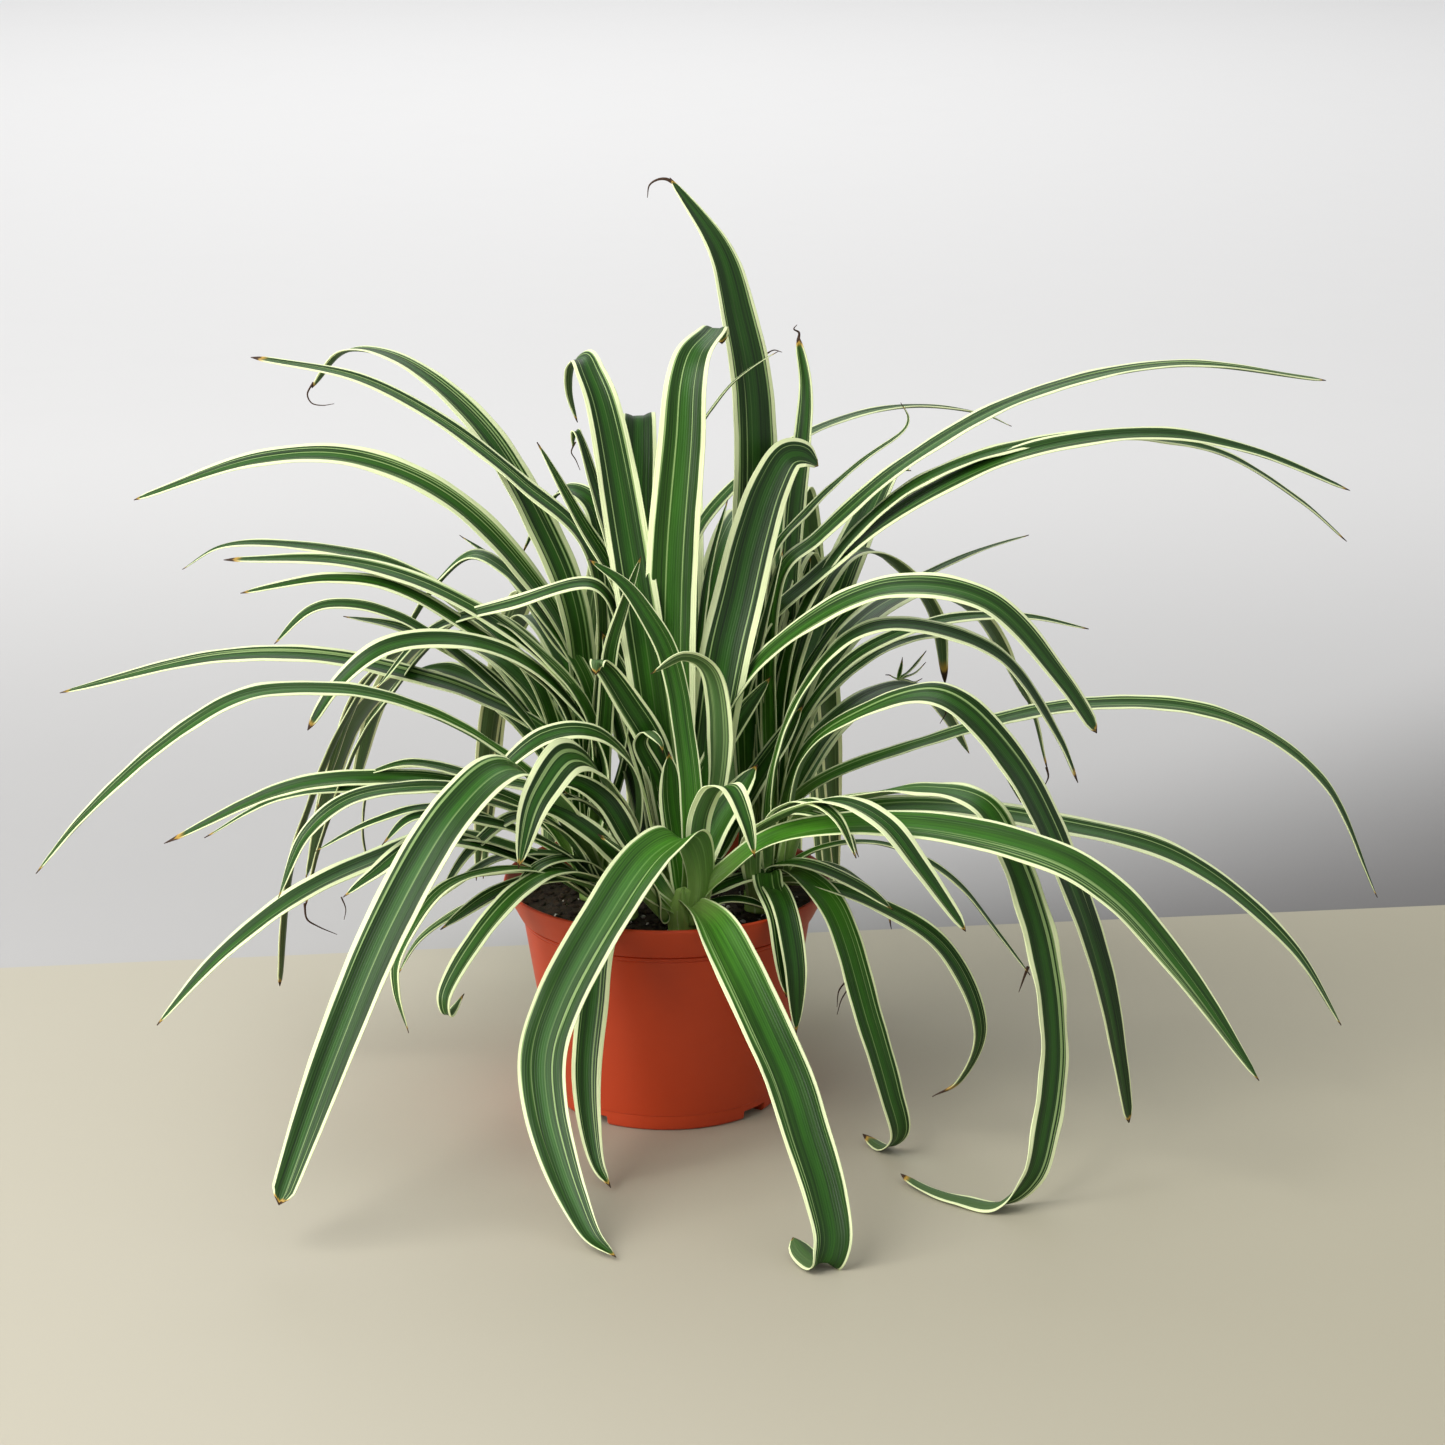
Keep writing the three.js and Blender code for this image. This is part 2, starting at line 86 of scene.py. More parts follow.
class Wire:
    """A shader value, so that Python's operators add the Math nodes between values."""

    def __init__(self, graph: Graph, socket: bpy.types.NodeSocket) -> None:
        """Wraps one output socket.

        Args:
            graph: The material's graph that the socket belongs to.
            socket: The output that carries the value.
        """
        self.graph = graph
        self.socket = socket

    def _join(self, operation: str, *values: Wire | float, clamp: bool = False) -> Wire:
        """Adds one Math node.

        Args:
            operation: The node's operation.
            values: Its inputs, in order.
            clamp: Whether the result is kept from 0 to 1.

        Returns:
            The node's result.
        """
        settings = {"operation": operation, "use_clamp": clamp}
        return self.graph.node("ShaderNodeMath", settings, dict(enumerate(values)))

    def __add__(self, other: Wire | float) -> Wire:
        """self + other."""
        return self._join("ADD", self, other)

    def __radd__(self, other: float) -> Wire:
        """other + self."""
        return self._join("ADD", other, self)

    def __sub__(self, other: Wire | float) -> Wire:
        """self - other."""
        return self._join("SUBTRACT", self, other)

    def __rsub__(self, other: float) -> Wire:
        """other - self."""
        return self._join("SUBTRACT", other, self)

    def __mul__(self, other: Wire | float) -> Wire:
        """self * other."""
        return self._join("MULTIPLY", self, other)

    def __rmul__(self, other: float) -> Wire:
        """other * self."""
        return self._join("MULTIPLY", other, self)

    def __abs__(self) -> Wire:
        """The value without its sign."""
        return self._join("ABSOLUTE", self)

    def clamp(self) -> Wire:
        """The value kept from 0 to 1."""
        return self._join("ADD", self, 0.0, clamp=True)

    def sine(self) -> Wire:
        """The sine of the value, in radians."""
        return self._join("SINE", self)

    def step(self, low: Wire | float, high: Wire | float) -> Wire:
        """A smooth step from 0 at low to 1 at high.

        Args:
            low: Where the step starts.
            high: Where it is complete. It may be below low, for a falling step.

        Returns:
            The share of the step that is done.
        """
        settings = {"interpolation_type": "SMOOTHSTEP", "clamp": True}
        limits = {"Value": self, "From Min": low, "From Max": high}
        return self.graph.node("ShaderNodeMapRange", settings, limits)


class Graph:
    """One material's nodes, built from Python calls."""

    def __init__(self, name: str) -> None:
        """Starts a material with an empty graph.

        Args:
            name: The material's name.
        """
        self.material = bpy.data.materials.new(name)
        self.material.use_nodes = True
        self.nodes = self.material.node_tree.nodes
        self.links = self.material.node_tree.links
        self.nodes.clear()

    def node(
        self,
        kind: str,
        settings: dict[str, object] | None = None,
        inputs: dict[int | str, object] | None = None,
        output: int | str = 0,
    ) -> Wire:
        """Adds a node of any type.

        Args:
            kind: The node's type.
            settings: Its settings, set before its sockets.
            inputs: Its sockets by name or number, each a plain value or a wire to link.
            output: The output that is returned, by name or number.

        Returns:
            That output.
        """
        made = self.nodes.new(kind)
        for key, value in (settings or {}).items():
            setattr(made, key, value)
        for key, value in (inputs or {}).items():
            if isinstance(value, Wire):
                self.links.new(value.socket, made.inputs[key])
            else:
                made.inputs[key].default_value = value
        return Wire(self, made.outputs[output])

    def attribute(self, name: str) -> tuple[Wire, Wire, Wire]:
        """Reads a mesh attribute.

        Args:
            name: The attribute's name.

        Returns:
            Its three numbers.
        """
        vector = self.node("ShaderNodeAttribute", {"attribute_name": name}, output="Vector")
        return self.parts(vector)

    def parts(self, vector: Wire) -> tuple[Wire, Wire, Wire]:
        """Takes a vector apart.

        Args:
            vector: The vector.

        Returns:
            Its X, Y and Z.
        """
        split = self.node("ShaderNodeSeparateXYZ", inputs={0: vector})
        outputs = split.socket.node.outputs
        return Wire(self, outputs[0]), Wire(self, outputs[1]), Wire(self, outputs[2])

    def vector(self, x: Wire | float, y: Wire | float, z: Wire | float) -> Wire:
        """A vector of three values."""
        return self.node("ShaderNodeCombineXYZ", inputs={0: x, 1: y, 2: z})

    def mix(self, share: Wire | float, first: Wire | Colour, second: Wire | Colour) -> Wire:
        """Mixes two colours.

        Args:
            share: How much of the second there is.
            first: A wire, or a plain colour of three numbers.
            second: The same.

        Returns:
            The mixed colour.
        """
        settings = {"data_type": "RGBA", "blend_type": "MIX", "clamp_factor": True}
        ends = [end if isinstance(end, Wire) else (*end, 1.0) for end in (first, second)]
        # A Mix node's colours are its inputs 6 and 7, and its output 2.
        return self.node("ShaderNodeMix", settings, {0: share, 6: ends[0], 7: ends[1]}, output=2)

    def noise(self, place: Wire, scale: float, detail: float = 2.0, roughness: float = 0.5) -> Wire:
        """Smooth noise.

        Args:
            place: The point where it is read.
            scale: Its features per unit.
            detail: Its octaves.
            roughness: How much each finer octave counts.

        Returns:
            The noise, from 0 to 1 around 0.5.
        """
        inputs = {"Vector": place, "Scale": scale, "Detail": detail, "Roughness": roughness}
        return self.node("ShaderNodeTexNoise", {"noise_dimensions": "3D"}, inputs)

    def place(self) -> Wire:
        """The point in the object's own frame, in millimetres."""
        point = self.node("ShaderNodeTexCoord", output="Object")
        scale = (1 / MM, 1 / MM, 1 / MM)
        return self.node("ShaderNodeVectorMath", {"operation": "MULTIPLY"}, {0: point, 1: scale})

    def bump(self, height: Wire, depth: float, strength: float = 1.0) -> Wire:
        """Turns a height into a normal.

        Args:
            height: The height, from 0 to 1.
            depth: What a height of 1 is, in millimetres.
            strength: How strongly it shows.

        Returns:
            The normal.
        """
        inputs = {"Height": height, "Distance": depth * MM, "Strength": strength}
        return self.node("ShaderNodeBump", inputs=inputs)

    def surface(self, inputs: dict[str, object]) -> bpy.types.Material:
        """Closes the material with a Principled surface.

        Args:
            inputs: The surface's sockets, each a plain value or a wire.

        Returns:
            The finished material.
        """
        shader = self.node("ShaderNodeBsdfPrincipled", inputs=inputs)
        output = self.nodes.new("ShaderNodeOutputMaterial")
        self.links.new(shader.socket, output.inputs["Surface"])
        return self.material


# ---- meshes ------------------------------------------------------------------------------------


@dataclass(frozen=True)
class Cell:
    """A neat strip of the bake map, from 0 to 1 each way."""

    left: float
    right: float
    low: float = 0.01
    high: float = 0.99

    def place(self, across: np.ndarray, along: np.ndarray) -> np.ndarray:
        """Puts shares of the strip on the map.

        Args:
            across: The share from the strip's left to its right.
            along: The share from its low end to its high end.

        Returns:
            The map's coordinates, one row each.
        """
        u = self.left + (self.right - self.left) * across
        v = self.low + (self.high - self.low) * along
        return np.stack([u, v], axis=-1)

    def split(self, count: int, gap: float = 0.08) -> list[Cell]:
        """Cuts the strip into narrower ones side by side.

        Args:
            count: How many.
            gap: The share of each that is left empty between two.

        Returns:
            The strips, from left to right.
        """
        step = (self.right - self.left) / count
        trim = step * gap / 2
        starts = [self.left + step * index for index in range(count)]
        return [Cell(start + trim, start + step - trim, self.low, self.high) for start in starts]


WHOLE_MAP = Cell(0.005, 0.995, 0.005, 0.995)


def triples(*values: np.ndarray | float) -> np.ndarray:
    """Three grids or numbers, spread to one shape and joined into one triple for each point."""
    return np.stack(np.broadcast_arrays(*values), axis=-1)


def full_turn(count: int) -> np.ndarray:
    """Headings in even steps round a full turn, in radians."""
    return np.linspace(0, 2 * math.pi, count, endpoint=False)


def turn_pair(a: np.ndarray, b: np.ndarray, angle: float) -> tuple[np.ndarray, np.ndarray]:
    """Turns points in the plane of two of their coordinates, by an angle in radians."""
    cosine, sine = math.cos(angle), math.sin(angle)
    return a * cosine - b * sine, a * sine + b * cosine


def add_object(name: str, data: bpy.types.ID) -> bpy.types.Object:
    """Puts a mesh, a lamp or a camera in the scene as an object."""
    made = bpy.data.objects.new(name, data)
    bpy.context.scene.collection.objects.link(made)
    return made


class Shell:
    """Points, faces and what they carry, gathered for one piece."""

    walls: ClassVar[np.ndarray] = np.array([[-1.0] * 3, [1.0] * 3])
    """The lowest and highest corners, in metres, that no piece goes beyond."""

    def __init__(self) -> None:
        """Starts empty."""
        self.points: list[np.ndarray] = []
        self.faces: list[np.ndarray] = []
        self.spots: list[np.ndarray] = []
        self.marks: dict[str, list[np.ndarray]] = {}
        self.count = 0

    def add_rings(
        self,
        rings: np.ndarray,
        cell: Cell,
        columns: np.ndarray,
        rows: np.ndarray,
        marks: dict[str, np.ndarray],
    ) -> None:
        """Adds a closed body made of rings of points, with a row of faces over each end.

        Args:
            rings: The points in millimetres, as rings by columns by three.
            cell: The body's strip of the bake map.
            columns: Each column's share across the strip, and the share where the ring closes.
            rows: Each ring's share along the strip.
            marks: What each point carries, as rings by columns by three.
        """
        ring_count, column_count = rings.shape[:2]
        base = self.count
        here = np.arange(column_count)
        beside = (here + 1) % column_count
        quads = []
        spots = []
        for ring in range(ring_count - 1):
            low = base + ring * column_count
            high = low + column_count
            quads.append(np.stack([low + here, low + beside, high + beside, high + here], axis=1))
            left, right = columns[:-1], columns[1:]
            bottom = np.full(column_count, rows[ring])
            top = np.full(column_count, rows[ring + 1])
            corners = [(left, bottom), (right, bottom), (right, top), (left, top)]
            spots.append(np.stack([cell.place(u, v) for u, v in corners], axis=1))
        for ring, forward in ((0, False), (ring_count - 1, True)):
            faces = self._cap(base + ring * column_count, column_count, forward)
            quads.append(faces)
            near = columns[(faces - base) % column_count]
            level = np.full(near.shape, rows[ring])
            spots.append(cell.place(near, level))
        self.points.append(rings.reshape(-1, 3))
        self.faces.append(np.concatenate(quads))
        self.spots.append(np.concatenate(spots))
        for name, values in marks.items():
            self.marks.setdefault(name, []).append(values.reshape(-1, 3))
        self.count += ring_count * column_count

    @staticmethod
    def _cap(base: int, count: int, forward: bool) -> np.ndarray:
        """Closes a ring with a row of faces from one of its halves to the other.

        Args:
            base: The number of the ring's first point.
            count: How many points the ring has, an even number.
            forward: Whether the faces turn with the ring's own direction.

        Returns:
            The faces, four corners each.
        """
        near = np.arange(count // 2 - 1)
        far = count - 1 - near
        faces = base + np.stack([near, near + 1, far - 1, far], axis=1)
        return faces if forward else faces[:, ::-1]

    def piece(self, name: str, material: bpy.types.Material) -> bpy.types.Object:
        """Makes the piece's object.

        Args:
            name: The piece's name.
            material: Its finish.

        Returns:
            The object, in metres, with its faces pointing out.
        """
        points = np.clip(np.concatenate(self.points) * MM, *self.walls)
        faces = np.concatenate(self.faces)
        spots = np.concatenate(self.spots)
        if self._volume(points, faces) < 0:
            faces = faces[:, ::-1]
            spots = spots[:, ::-1]
        mesh = bpy.data.meshes.new(name)
        mesh.from_pydata(points.tolist(), [], faces.tolist())
        mesh.uv_layers.new(name=BAKE_MAP).data.foreach_set("uv", spots.reshape(-1))
        for mark, values in self.marks.items():
            layer = mesh.attributes.new(mark, "FLOAT_VECTOR", "POINT")
            layer.data.foreach_set("vector", np.concatenate(values).astype(np.float32).reshape(-1))
        mesh.polygons.foreach_set("use_smooth", np.ones(len(faces), dtype=bool))
        mesh.materials.append(material)
        mesh.validate()
        return add_object(name, mesh)

    @staticmethod
    def _volume(points: np.ndarray, faces: np.ndarray) -> float:
        """The signed volume inside the faces, which is negative where they point in."""
        a, b, c, d = (points[faces[:, corner]] for corner in range(4))
        first = np.einsum("ij,ij->i", a, np.cross(b, c)).sum()
        second = np.einsum("ij,ij->i", a, np.cross(c, d)).sum()
        return float(first + second)


def smooth_step(value: np.ndarray | float, low: float, high: float) -> np.ndarray:
    """A smooth step.

    Args:
        value: Where it is read.
        low: Where it starts.
        high: Where it is complete.

    Returns:
        The share that is done, from 0 to 1.
    """
    share = np.clip((value - low) / (high - low), 0.0, 1.0)
    return share * share * (3.0 - 2.0 * share)


def rounded(profile: Sequence[Point], radius: float, steps: int = 4) -> np.ndarray:
    """Rounds the corners of an outline.

    Args:
        profile: The outline's corners, in order. Its two ends stay sharp.
        radius: The fillet, made smaller where a side is too short for it.
        steps: How many sides a rounded corner has.

    Returns:
        The outline with its round corners.
    """
    corners = [np.array(corner, dtype=float) for corner in profile]
    outline = [corners[0]]
    for before, corner, after in zip(corners, corners[1:], corners[2:]):
        back = before - corner
        ahead = after - corner
        reach = min(radius, 0.45 * np.linalg.norm(back), 0.45 * np.linalg.norm(ahead))
        start = corner + back / np.linalg.norm(back) * reach
        end = corner + ahead / np.linalg.norm(ahead) * reach
        for step in range(steps + 1):
            share = step / steps
            outline.append((1 - share) ** 2 * start + 2 * share * (1 - share) * corner + share**2 * end)
    outline.append(corners[-1])
    return np.array(outline)


# ---- blades -------------------------------------------------------------------------------------


@dataclass(frozen=True)
class BladeRules:
    """What every blade of the plant has in common.

    Lengths, widths and the keel's and margin's thickness are in millimetres, folds in degrees
    and the ring turn in radians. The rest are counts, powers, and shares of a blade's length,
    width or thickness, of its twist to the front, or of how far its heading points there.
    """

    root_width: float = 0.55
    swell_end: float = 0.22
    taper_start: float = 0.4
    taper_power: float = 3.2
    spread_points: int = 3
    keel_thickness: float = 0.95
    margin_thickness: float = 0.4
    ring_step: float = 3.6
    ring_turn: float = 0.16
    half_columns: int = 13
    fold_root: float = 46.0
    fold_middle: float = 14.0
    fold_tip: float = 20.0
    fold_narrowing: float = 0.22
    fold_draw: tuple[float, float] = (0.8, 1.25)
    open_end: float = 0.3
    close_start: float = 0.6
    ripple_start: float = 0.12
    ripple_full: float = 0.3
    ripple_loss: float = 0.6
    ripple_power: int = 3
    dry_draw: tuple[float, float] = (0.7, 1.4)
    tone_draw: float = 0.1
    point_length: float = 7.0
    facing: float = 0.5
    facing_end: float = 0.34
    away: float = 0.6
    ridge: float = 0.035
    keel_softness: float = 0.012
    keel_sink: float = 0.42
    most_fold: float = 66.0
    least_half_width: float = 0.12
    point_power: float = 0.6
    column_power: float = 0.85
    full_thickness_width: float = 2.5
    least_thickness: float = 0.35
    least_rim: float = 0.085
    most_rim: float = 0.165


RULES = BladeRules()


class Keel:
    """The line that a blade's keel follows: a centripetal curve through its points."""

    SAMPLES_PER_SPAN = 48
    FINE_SAMPLES = 500
    LEAST_RINGS = 6

    def __init__(self, points: Sequence[np.ndarray]) -> None:
        """Samples the curve.

        Args:
            points: The points that it passes through.
        """
        whole = [2 * points[0] - points[1], *points, 2 * points[-1] - points[-2]]
        places = []
        ways = []
        shares = np.arange(self.SAMPLES_PER_SPAN) / self.SAMPLES_PER_SPAN
        for span in range(len(points) - 1):
            last = span == len(points) - 2
            at = np.append(shares, 1.0) if last else shares
            place, way = self._span(whole[span : span + 4], at)
            places.append(place)
            ways.append(way)
        self.places = np.concatenate(places)
        ways = np.concatenate(ways)
        self.ways = ways / np.linalg.norm(ways, axis=1, keepdims=True)
        steps = np.linalg.norm(np.diff(self.places, axis=0), axis=1)
        self.travel = np.concatenate([[0.0], np.cumsum(steps)])
        self.length = float(self.travel[-1])

    @staticmethod
    def _span(four: Sequence[np.ndarray], at: np.ndarray) -> tuple[np.ndarray, np.ndarray]:
        """One span of the curve, between the middle two of four points.

        Args:
            four: The points.
            at: Shares of the span.

        Returns:
            The places there, and the directions.
        """
        before, start, end, after = four
        gap0, gap1, gap2 = (
            math.sqrt(np.linalg.norm(b - a)) for a, b in ((before, start), (start, end), (end, after))
        )
        leave = (start - before) / gap0 - (end - before) / (gap0 + gap1) + (end - start) / gap1
        arrive = (end - start) / gap1 - (after - start) / (gap1 + gap2) + (after - end) / gap2
        leave = leave * gap1
        arrive = arrive * gap1
        square = 3 * (end - start) - 2 * leave - arrive
        cube = 2 * (start - end) + leave + arrive
        t = at[:, None]
        place = start + leave * t + square * t**2 + cube * t**3
        way = leave + 2 * square * t + 3 * cube * t**2
        return place, way

    def at(self, shares: np.ndarray) -> tuple[np.ndarray, np.ndarray]:
        """Reads the curve at shares of its length.

        Args:
            shares: From 0 at the root to 1 at the tip.

        Returns:
            The places there, and the unit directions.
        """
        travel = shares * self.length
        places = np.stack([np.interp(travel, self.travel, axis) for axis in self.places.T], axis=1)
        ways = np.stack([np.interp(travel, self.travel, axis) for axis in self.ways.T], axis=1)
        return places, ways / np.linalg.norm(ways, axis=1, keepdims=True)

    def stations(self, step: float, turn: float) -> np.ndarray:
        """Shares of the length where rings go, closer where the curve bends.

        Args:
            step: The longest way between two rings.
            turn: The most that the curve bends between two, in radians.

        Returns:
            The shares, from 0 to 1.
        """
        fine = np.linspace(0.0, 1.0, self.FINE_SAMPLES)
        places, ways = self.at(fine)
        moved = np.linalg.norm(np.diff(places, axis=0), axis=1)
        bent = np.arccos(np.clip(np.einsum("ij,ij->i", ways[1:], ways[:-1]), -1.0, 1.0))
        cost = np.concatenate([[0.0], np.cumsum(moved / step + bent / turn)])
        count = max(self.LEAST_RINGS, math.ceil(cost[-1]))
        return np.interp(np.linspace(0.0, cost[-1], count + 1), cost, fine)


@dataclass
class Blade:
    """One blade: where it goes, how wide it is, and how it has aged.

    Each point of the path is [out, up] or [out, up, side] in millimetres from the middle of
    the crown at soil level. The heading is in degrees round +Z from +X, and side is to its
    left. The tip is the share of the width that is left at the end. The turn is how far, in
    degrees, the blade has rolled about its own line by the middle of its length, and the curl
    is how far by its end, if that differs. The tone is how bright its green is. Dry is about
    how many millimetres of its tip have withered. The wave is how far its margins ripple, in
    millimetres, and the fold how sharply it is folded against the usual. The rim is each cream
    margin's share of the width, drawn at random where it is left out.
    """

    heading: float
    width: float
    path: Sequence[Point]
    tip: float = 0.07
    turn: float = 0.0
    curl: float | None = None
    tone: float = 0.08
    dry: float = 1.2
    wave: float = 0.3
    fold: float = 1.0
    rim: float | None = None

    def keel(self, root: Point) -> tuple[np.ndarray, Keel]:
        """The line that the blade follows.

        Args:
            root: Where it starts inside the heart, as [out, up, side].

        Returns:
            The direction to the left of the heading, and the line.
        """
        angle = math.radians(self.heading)
        out = np.array([math.cos(angle), math.sin(angle), 0.0])
        left = np.array([-out[1], out[0], 0.0])
        points = []
        for order, stop in enumerate([root, *self.path]):
            reach, up, side = (*stop, 0.0)[:3]
            spread = root[2] * max(0.0, 1 - order / RULES.spread_points) if order else 0.0
            points.append(out * reach + left * (side + spread) + np.array([0.0, 0.0, up]))
        return left, Keel(points)

    def width_at(self, share: np.ndarray) -> np.ndarray:
        """The blade's width at shares of its length."""
        swell = smooth_step(share, 0.0, RULES.swell_end)
        past = np.maximum(0.0, (share - RULES.taper_start) / (1 - RULES.taper_start))
        root = RULES.root_width + (1 - RULES.root_width) * swell
        return self.width * root * (1 - (1 - self.tip) * past**RULES.taper_power)

    def grow(self, shell: Shell, cell: Cell, root: Point, origin: Point, seed: int) -> None:
        """Adds the blade's fine mesh to a piece.

        Args:
            shell: The piece's mesh.
            cell: The blade's strip of the bake map.
            root: Where the blade starts inside the heart.
            origin: The crown's middle at soil level.
            seed: What the blade's small differences are drawn from.
        """
        draw = np.random.default_rng(seed)
        left, keel = self.keel(root)
        shares = keel.stations(RULES.ring_step, RULES.ring_turn)
        places, ways = keel.at(shares)
        across = self._across(left, ways, shares)
        normal = np.cross(ways, across)

        to_tip = (1 - shares) * keel.length
        half = self.width_at(shares) / 2
        narrowing = np.clip(to_tip / RULES.point_length, 0.0, 1.0) ** RULES.point_power
        half = half * narrowing + RULES.least_half_width
        side = np.cos(np.linspace(0.0, math.pi, RULES.half_columns))
        side = np.sign(side) * np.abs(side) ** RULES.column_power
        top = self._section(side, half, shares, to_tip, draw)
        thickness = self._thickness(side, half)
        lift = [0.0, 0.5] * thickness[..., None]
        upper = top + lift
        lower = top - lift
        flat = np.concatenate([upper, lower[:, ::-1]], axis=1)
        rings = (
            np.array(origin)
            + places[:, None]
            + across[:, None] * flat[..., :1]
            + normal[:, None] * flat[..., 1:]
        )

        rim = draw.uniform(RULES.least_rim, RULES.most_rim) if self.rim is None else self.rim
        both = np.concatenate([side, side[::-1]])
        faces_up = np.repeat([1.0, 0.0], RULES.half_columns)
        marks = {
            "blade": triples(both, shares[:, None], faces_up),
            "grain": triples(both * half[:, None], to_tip[:, None], draw.uniform(0, 500)),
            "trait": np.broadcast_to(
                [
                    self.tone + draw.uniform(-RULES.tone_draw, RULES.tone_draw),
                    self.dry * draw.uniform(*RULES.dry_draw),
                    rim,
                ],
                rings.shape,
            ),
        }
        edge = (1 - side) / 2
        strip = np.concatenate([0.01 + 0.47 * edge, 0.52 + 0.47 * edge, [1.0]])
        shell.add_rings(rings, cell, strip, shares, marks)

    def _across(self, left: np.ndarray, ways: np.ndarray, shares: np.ndarray) -> np.ndarray:
        """The direction across the blade at each ring, from its right margin to its left.

        A blade's foot is twisted to show the plant's front its face, or its back where it heads
        to the front itself. Further out the blade lies as its turn and curl say.

        Args:
            left: The direction to the left of the heading.
            ways: The keel's direction at each ring.
            shares: Each ring's share of the length.

        Returns:
            The unit directions.
        """
        front = np.array([1.0 if left[0] > RULES.away else -1.0, 0.0, 0.0])
        twist = RULES.facing * (1 - smooth_step(shares, 0.0, RULES.facing_end))[:, None]
        wanted = left * (1 - twist) + front * twist
        across = wanted - ways * np.einsum("ij,ij->i", wanted, ways)[:, None]
        across /= np.linalg.norm(across, axis=1, keepdims=True)
        curl = self.turn if self.curl is None else self.curl
        first = self.turn * np.minimum(1.0, 2 * shares)
        last = (curl - self.turn) * np.maximum(0.0, 2 * shares - 1)
        roll = np.radians(first + last)[:, None]
        return across * np.cos(roll) + np.cross(ways, across) * np.sin(roll)

    def _section(
        self,
        side: np.ndarray,
        half: np.ndarray,
        shares: np.ndarray,
        to_tip: np.ndarray,
        draw: np.random.Generator,
    ) -> np.ndarray:
        """The blade's folded cross sections.

        Args:
            side: The columns, from 1 at the left margin to -1 at the right one.
            half: Half the width at each ring.
            shares: Each ring's share of the length.
            to_tip: Each ring's way to the tip.
            draw: The blade's random draws.

        Returns:
            For each ring and column, how far across and how far up it lies.
        """
        opening = smooth_step(shares, 0.0, RULES.open_end)
        closing = smooth_step(shares, RULES.close_start, 1.0)
        fold = RULES.fold_root * (1 - opening) + RULES.fold_middle * opening
        fold = fold + (RULES.fold_tip - RULES.fold_middle) * closing
        fold = fold * self.fold * draw.uniform(*RULES.fold_draw)
        fold = np.radians(np.clip(fold, 0, RULES.most_fold))[:, None]
        reach = np.sqrt(side**2 + RULES.keel_softness) - math.sqrt(RULES.keel_softness)
        x = side * half[:, None] * (1 - RULES.fold_narrowing * (1 - opening[:, None]))
        z = half[:, None] * np.sin(fold) * (reach - RULES.keel_sink)
        ridge = np.cos(3 * math.pi * side) * RULES.ridge * half[:, None] * opening[:, None]
        phase = draw.uniform(0, 2 * math.pi, 4)
        pace = draw.uniform(0.07, 0.16, 2)
        ripple = np.zeros_like(z)
        for sign, shift in ((1, phase[0]), (-1, phase[1])):
            swing = np.sin(to_tip * pace[0] + shift) + 0.5 * np.sin(to_tip * 2.3 * pace[1] + shift * 2)
            outer = np.where(side * sign > 0, np.abs(side) ** RULES.ripple_power, 0.0)
            ripple += outer * (self.wave * swing)[:, None]
        fade = smooth_step(shares, RULES.ripple_start, RULES.ripple_full)
        fade = fade * (1 - RULES.ripple_loss * closing)
        z = z + ridge + ripple * fade[:, None]
        return np.stack([x, z], axis=-1)

    @staticmethod
    def _thickness(side: np.ndarray, half: np.ndarray) -> np.ndarray:
        """How thick the blade is at each ring and column."""
        body = RULES.margin_thickness + (RULES.keel_thickness - RULES.margin_thickness) * (1 - side**2)
        full = np.minimum(1.0, half[:, None] / RULES.full_thickness_width)
        return body[None] * (RULES.least_thickness + (1 - RULES.least_thickness) * full)


def leaf(heading: float, width: float, path: Sequence[Point], **looks: object) -> Blade:
    """A blade by its heading, width and path, and whatever looks set it apart."""
    return Blade(heading, width, path, **looks)


def arch(heading: float, width: float, reach: float, height: float, end: float) -> Blade:
    """An even arch, which climbs a little past half its reach and then falls.

    Args:
        heading: Its heading.
        width: Its width.
        reach: How far out its tip is.
        height: How high it climbs.
        end: The level of its tip.

    Returns:
        The blade.
    """
    climb = [(0.06, 0.4), (0.24, 0.84), (0.52, 1.0)]
    fall = [(0.8, 0.3), (1.0, 1.0)]
    path = [(out * reach, up * height) for out, up in climb]
    path += [(out * reach, height + down * (end - height)) for out, down in fall]
    return Blade(heading, width, path)


@dataclass(frozen=True)
class HeartShape:
    """The heart that a crown's blades grow from, and its root stub. Lengths are in millimetres.

    The roots are where blades start in it: how far out, and how high, for the youngest and the
    oldest. The shoulder is the share of its height up to which it is widest.
    """

    foot_radius: float = 8.8
    top_radius: float = 4.0
    height: float = 21.0
    foot_level: float = 0.3
    spread: float = 8.0
    youngest_root: tuple[float, float] = (2.0, 16.0)
    oldest_root: tuple[float, float] = (6.0, 4.0)
    shoulder: float = 0.4
    fillet: float = 3.0
    axis_gap: float = 0.2
    least_radius: float = 0.15
    pleat_rise: float = 4.0
    stub_radius: float = 5.5
    stub_depth: float = 14.0
    columns: int = 60
    sheaths: int = 5
    sheath_depth: float = 2.6
    lean: float = 0.03
    to_tip: float = 60.0
    tone: float = 0.4
    rim: float = 0.03


HEART = HeartShape()


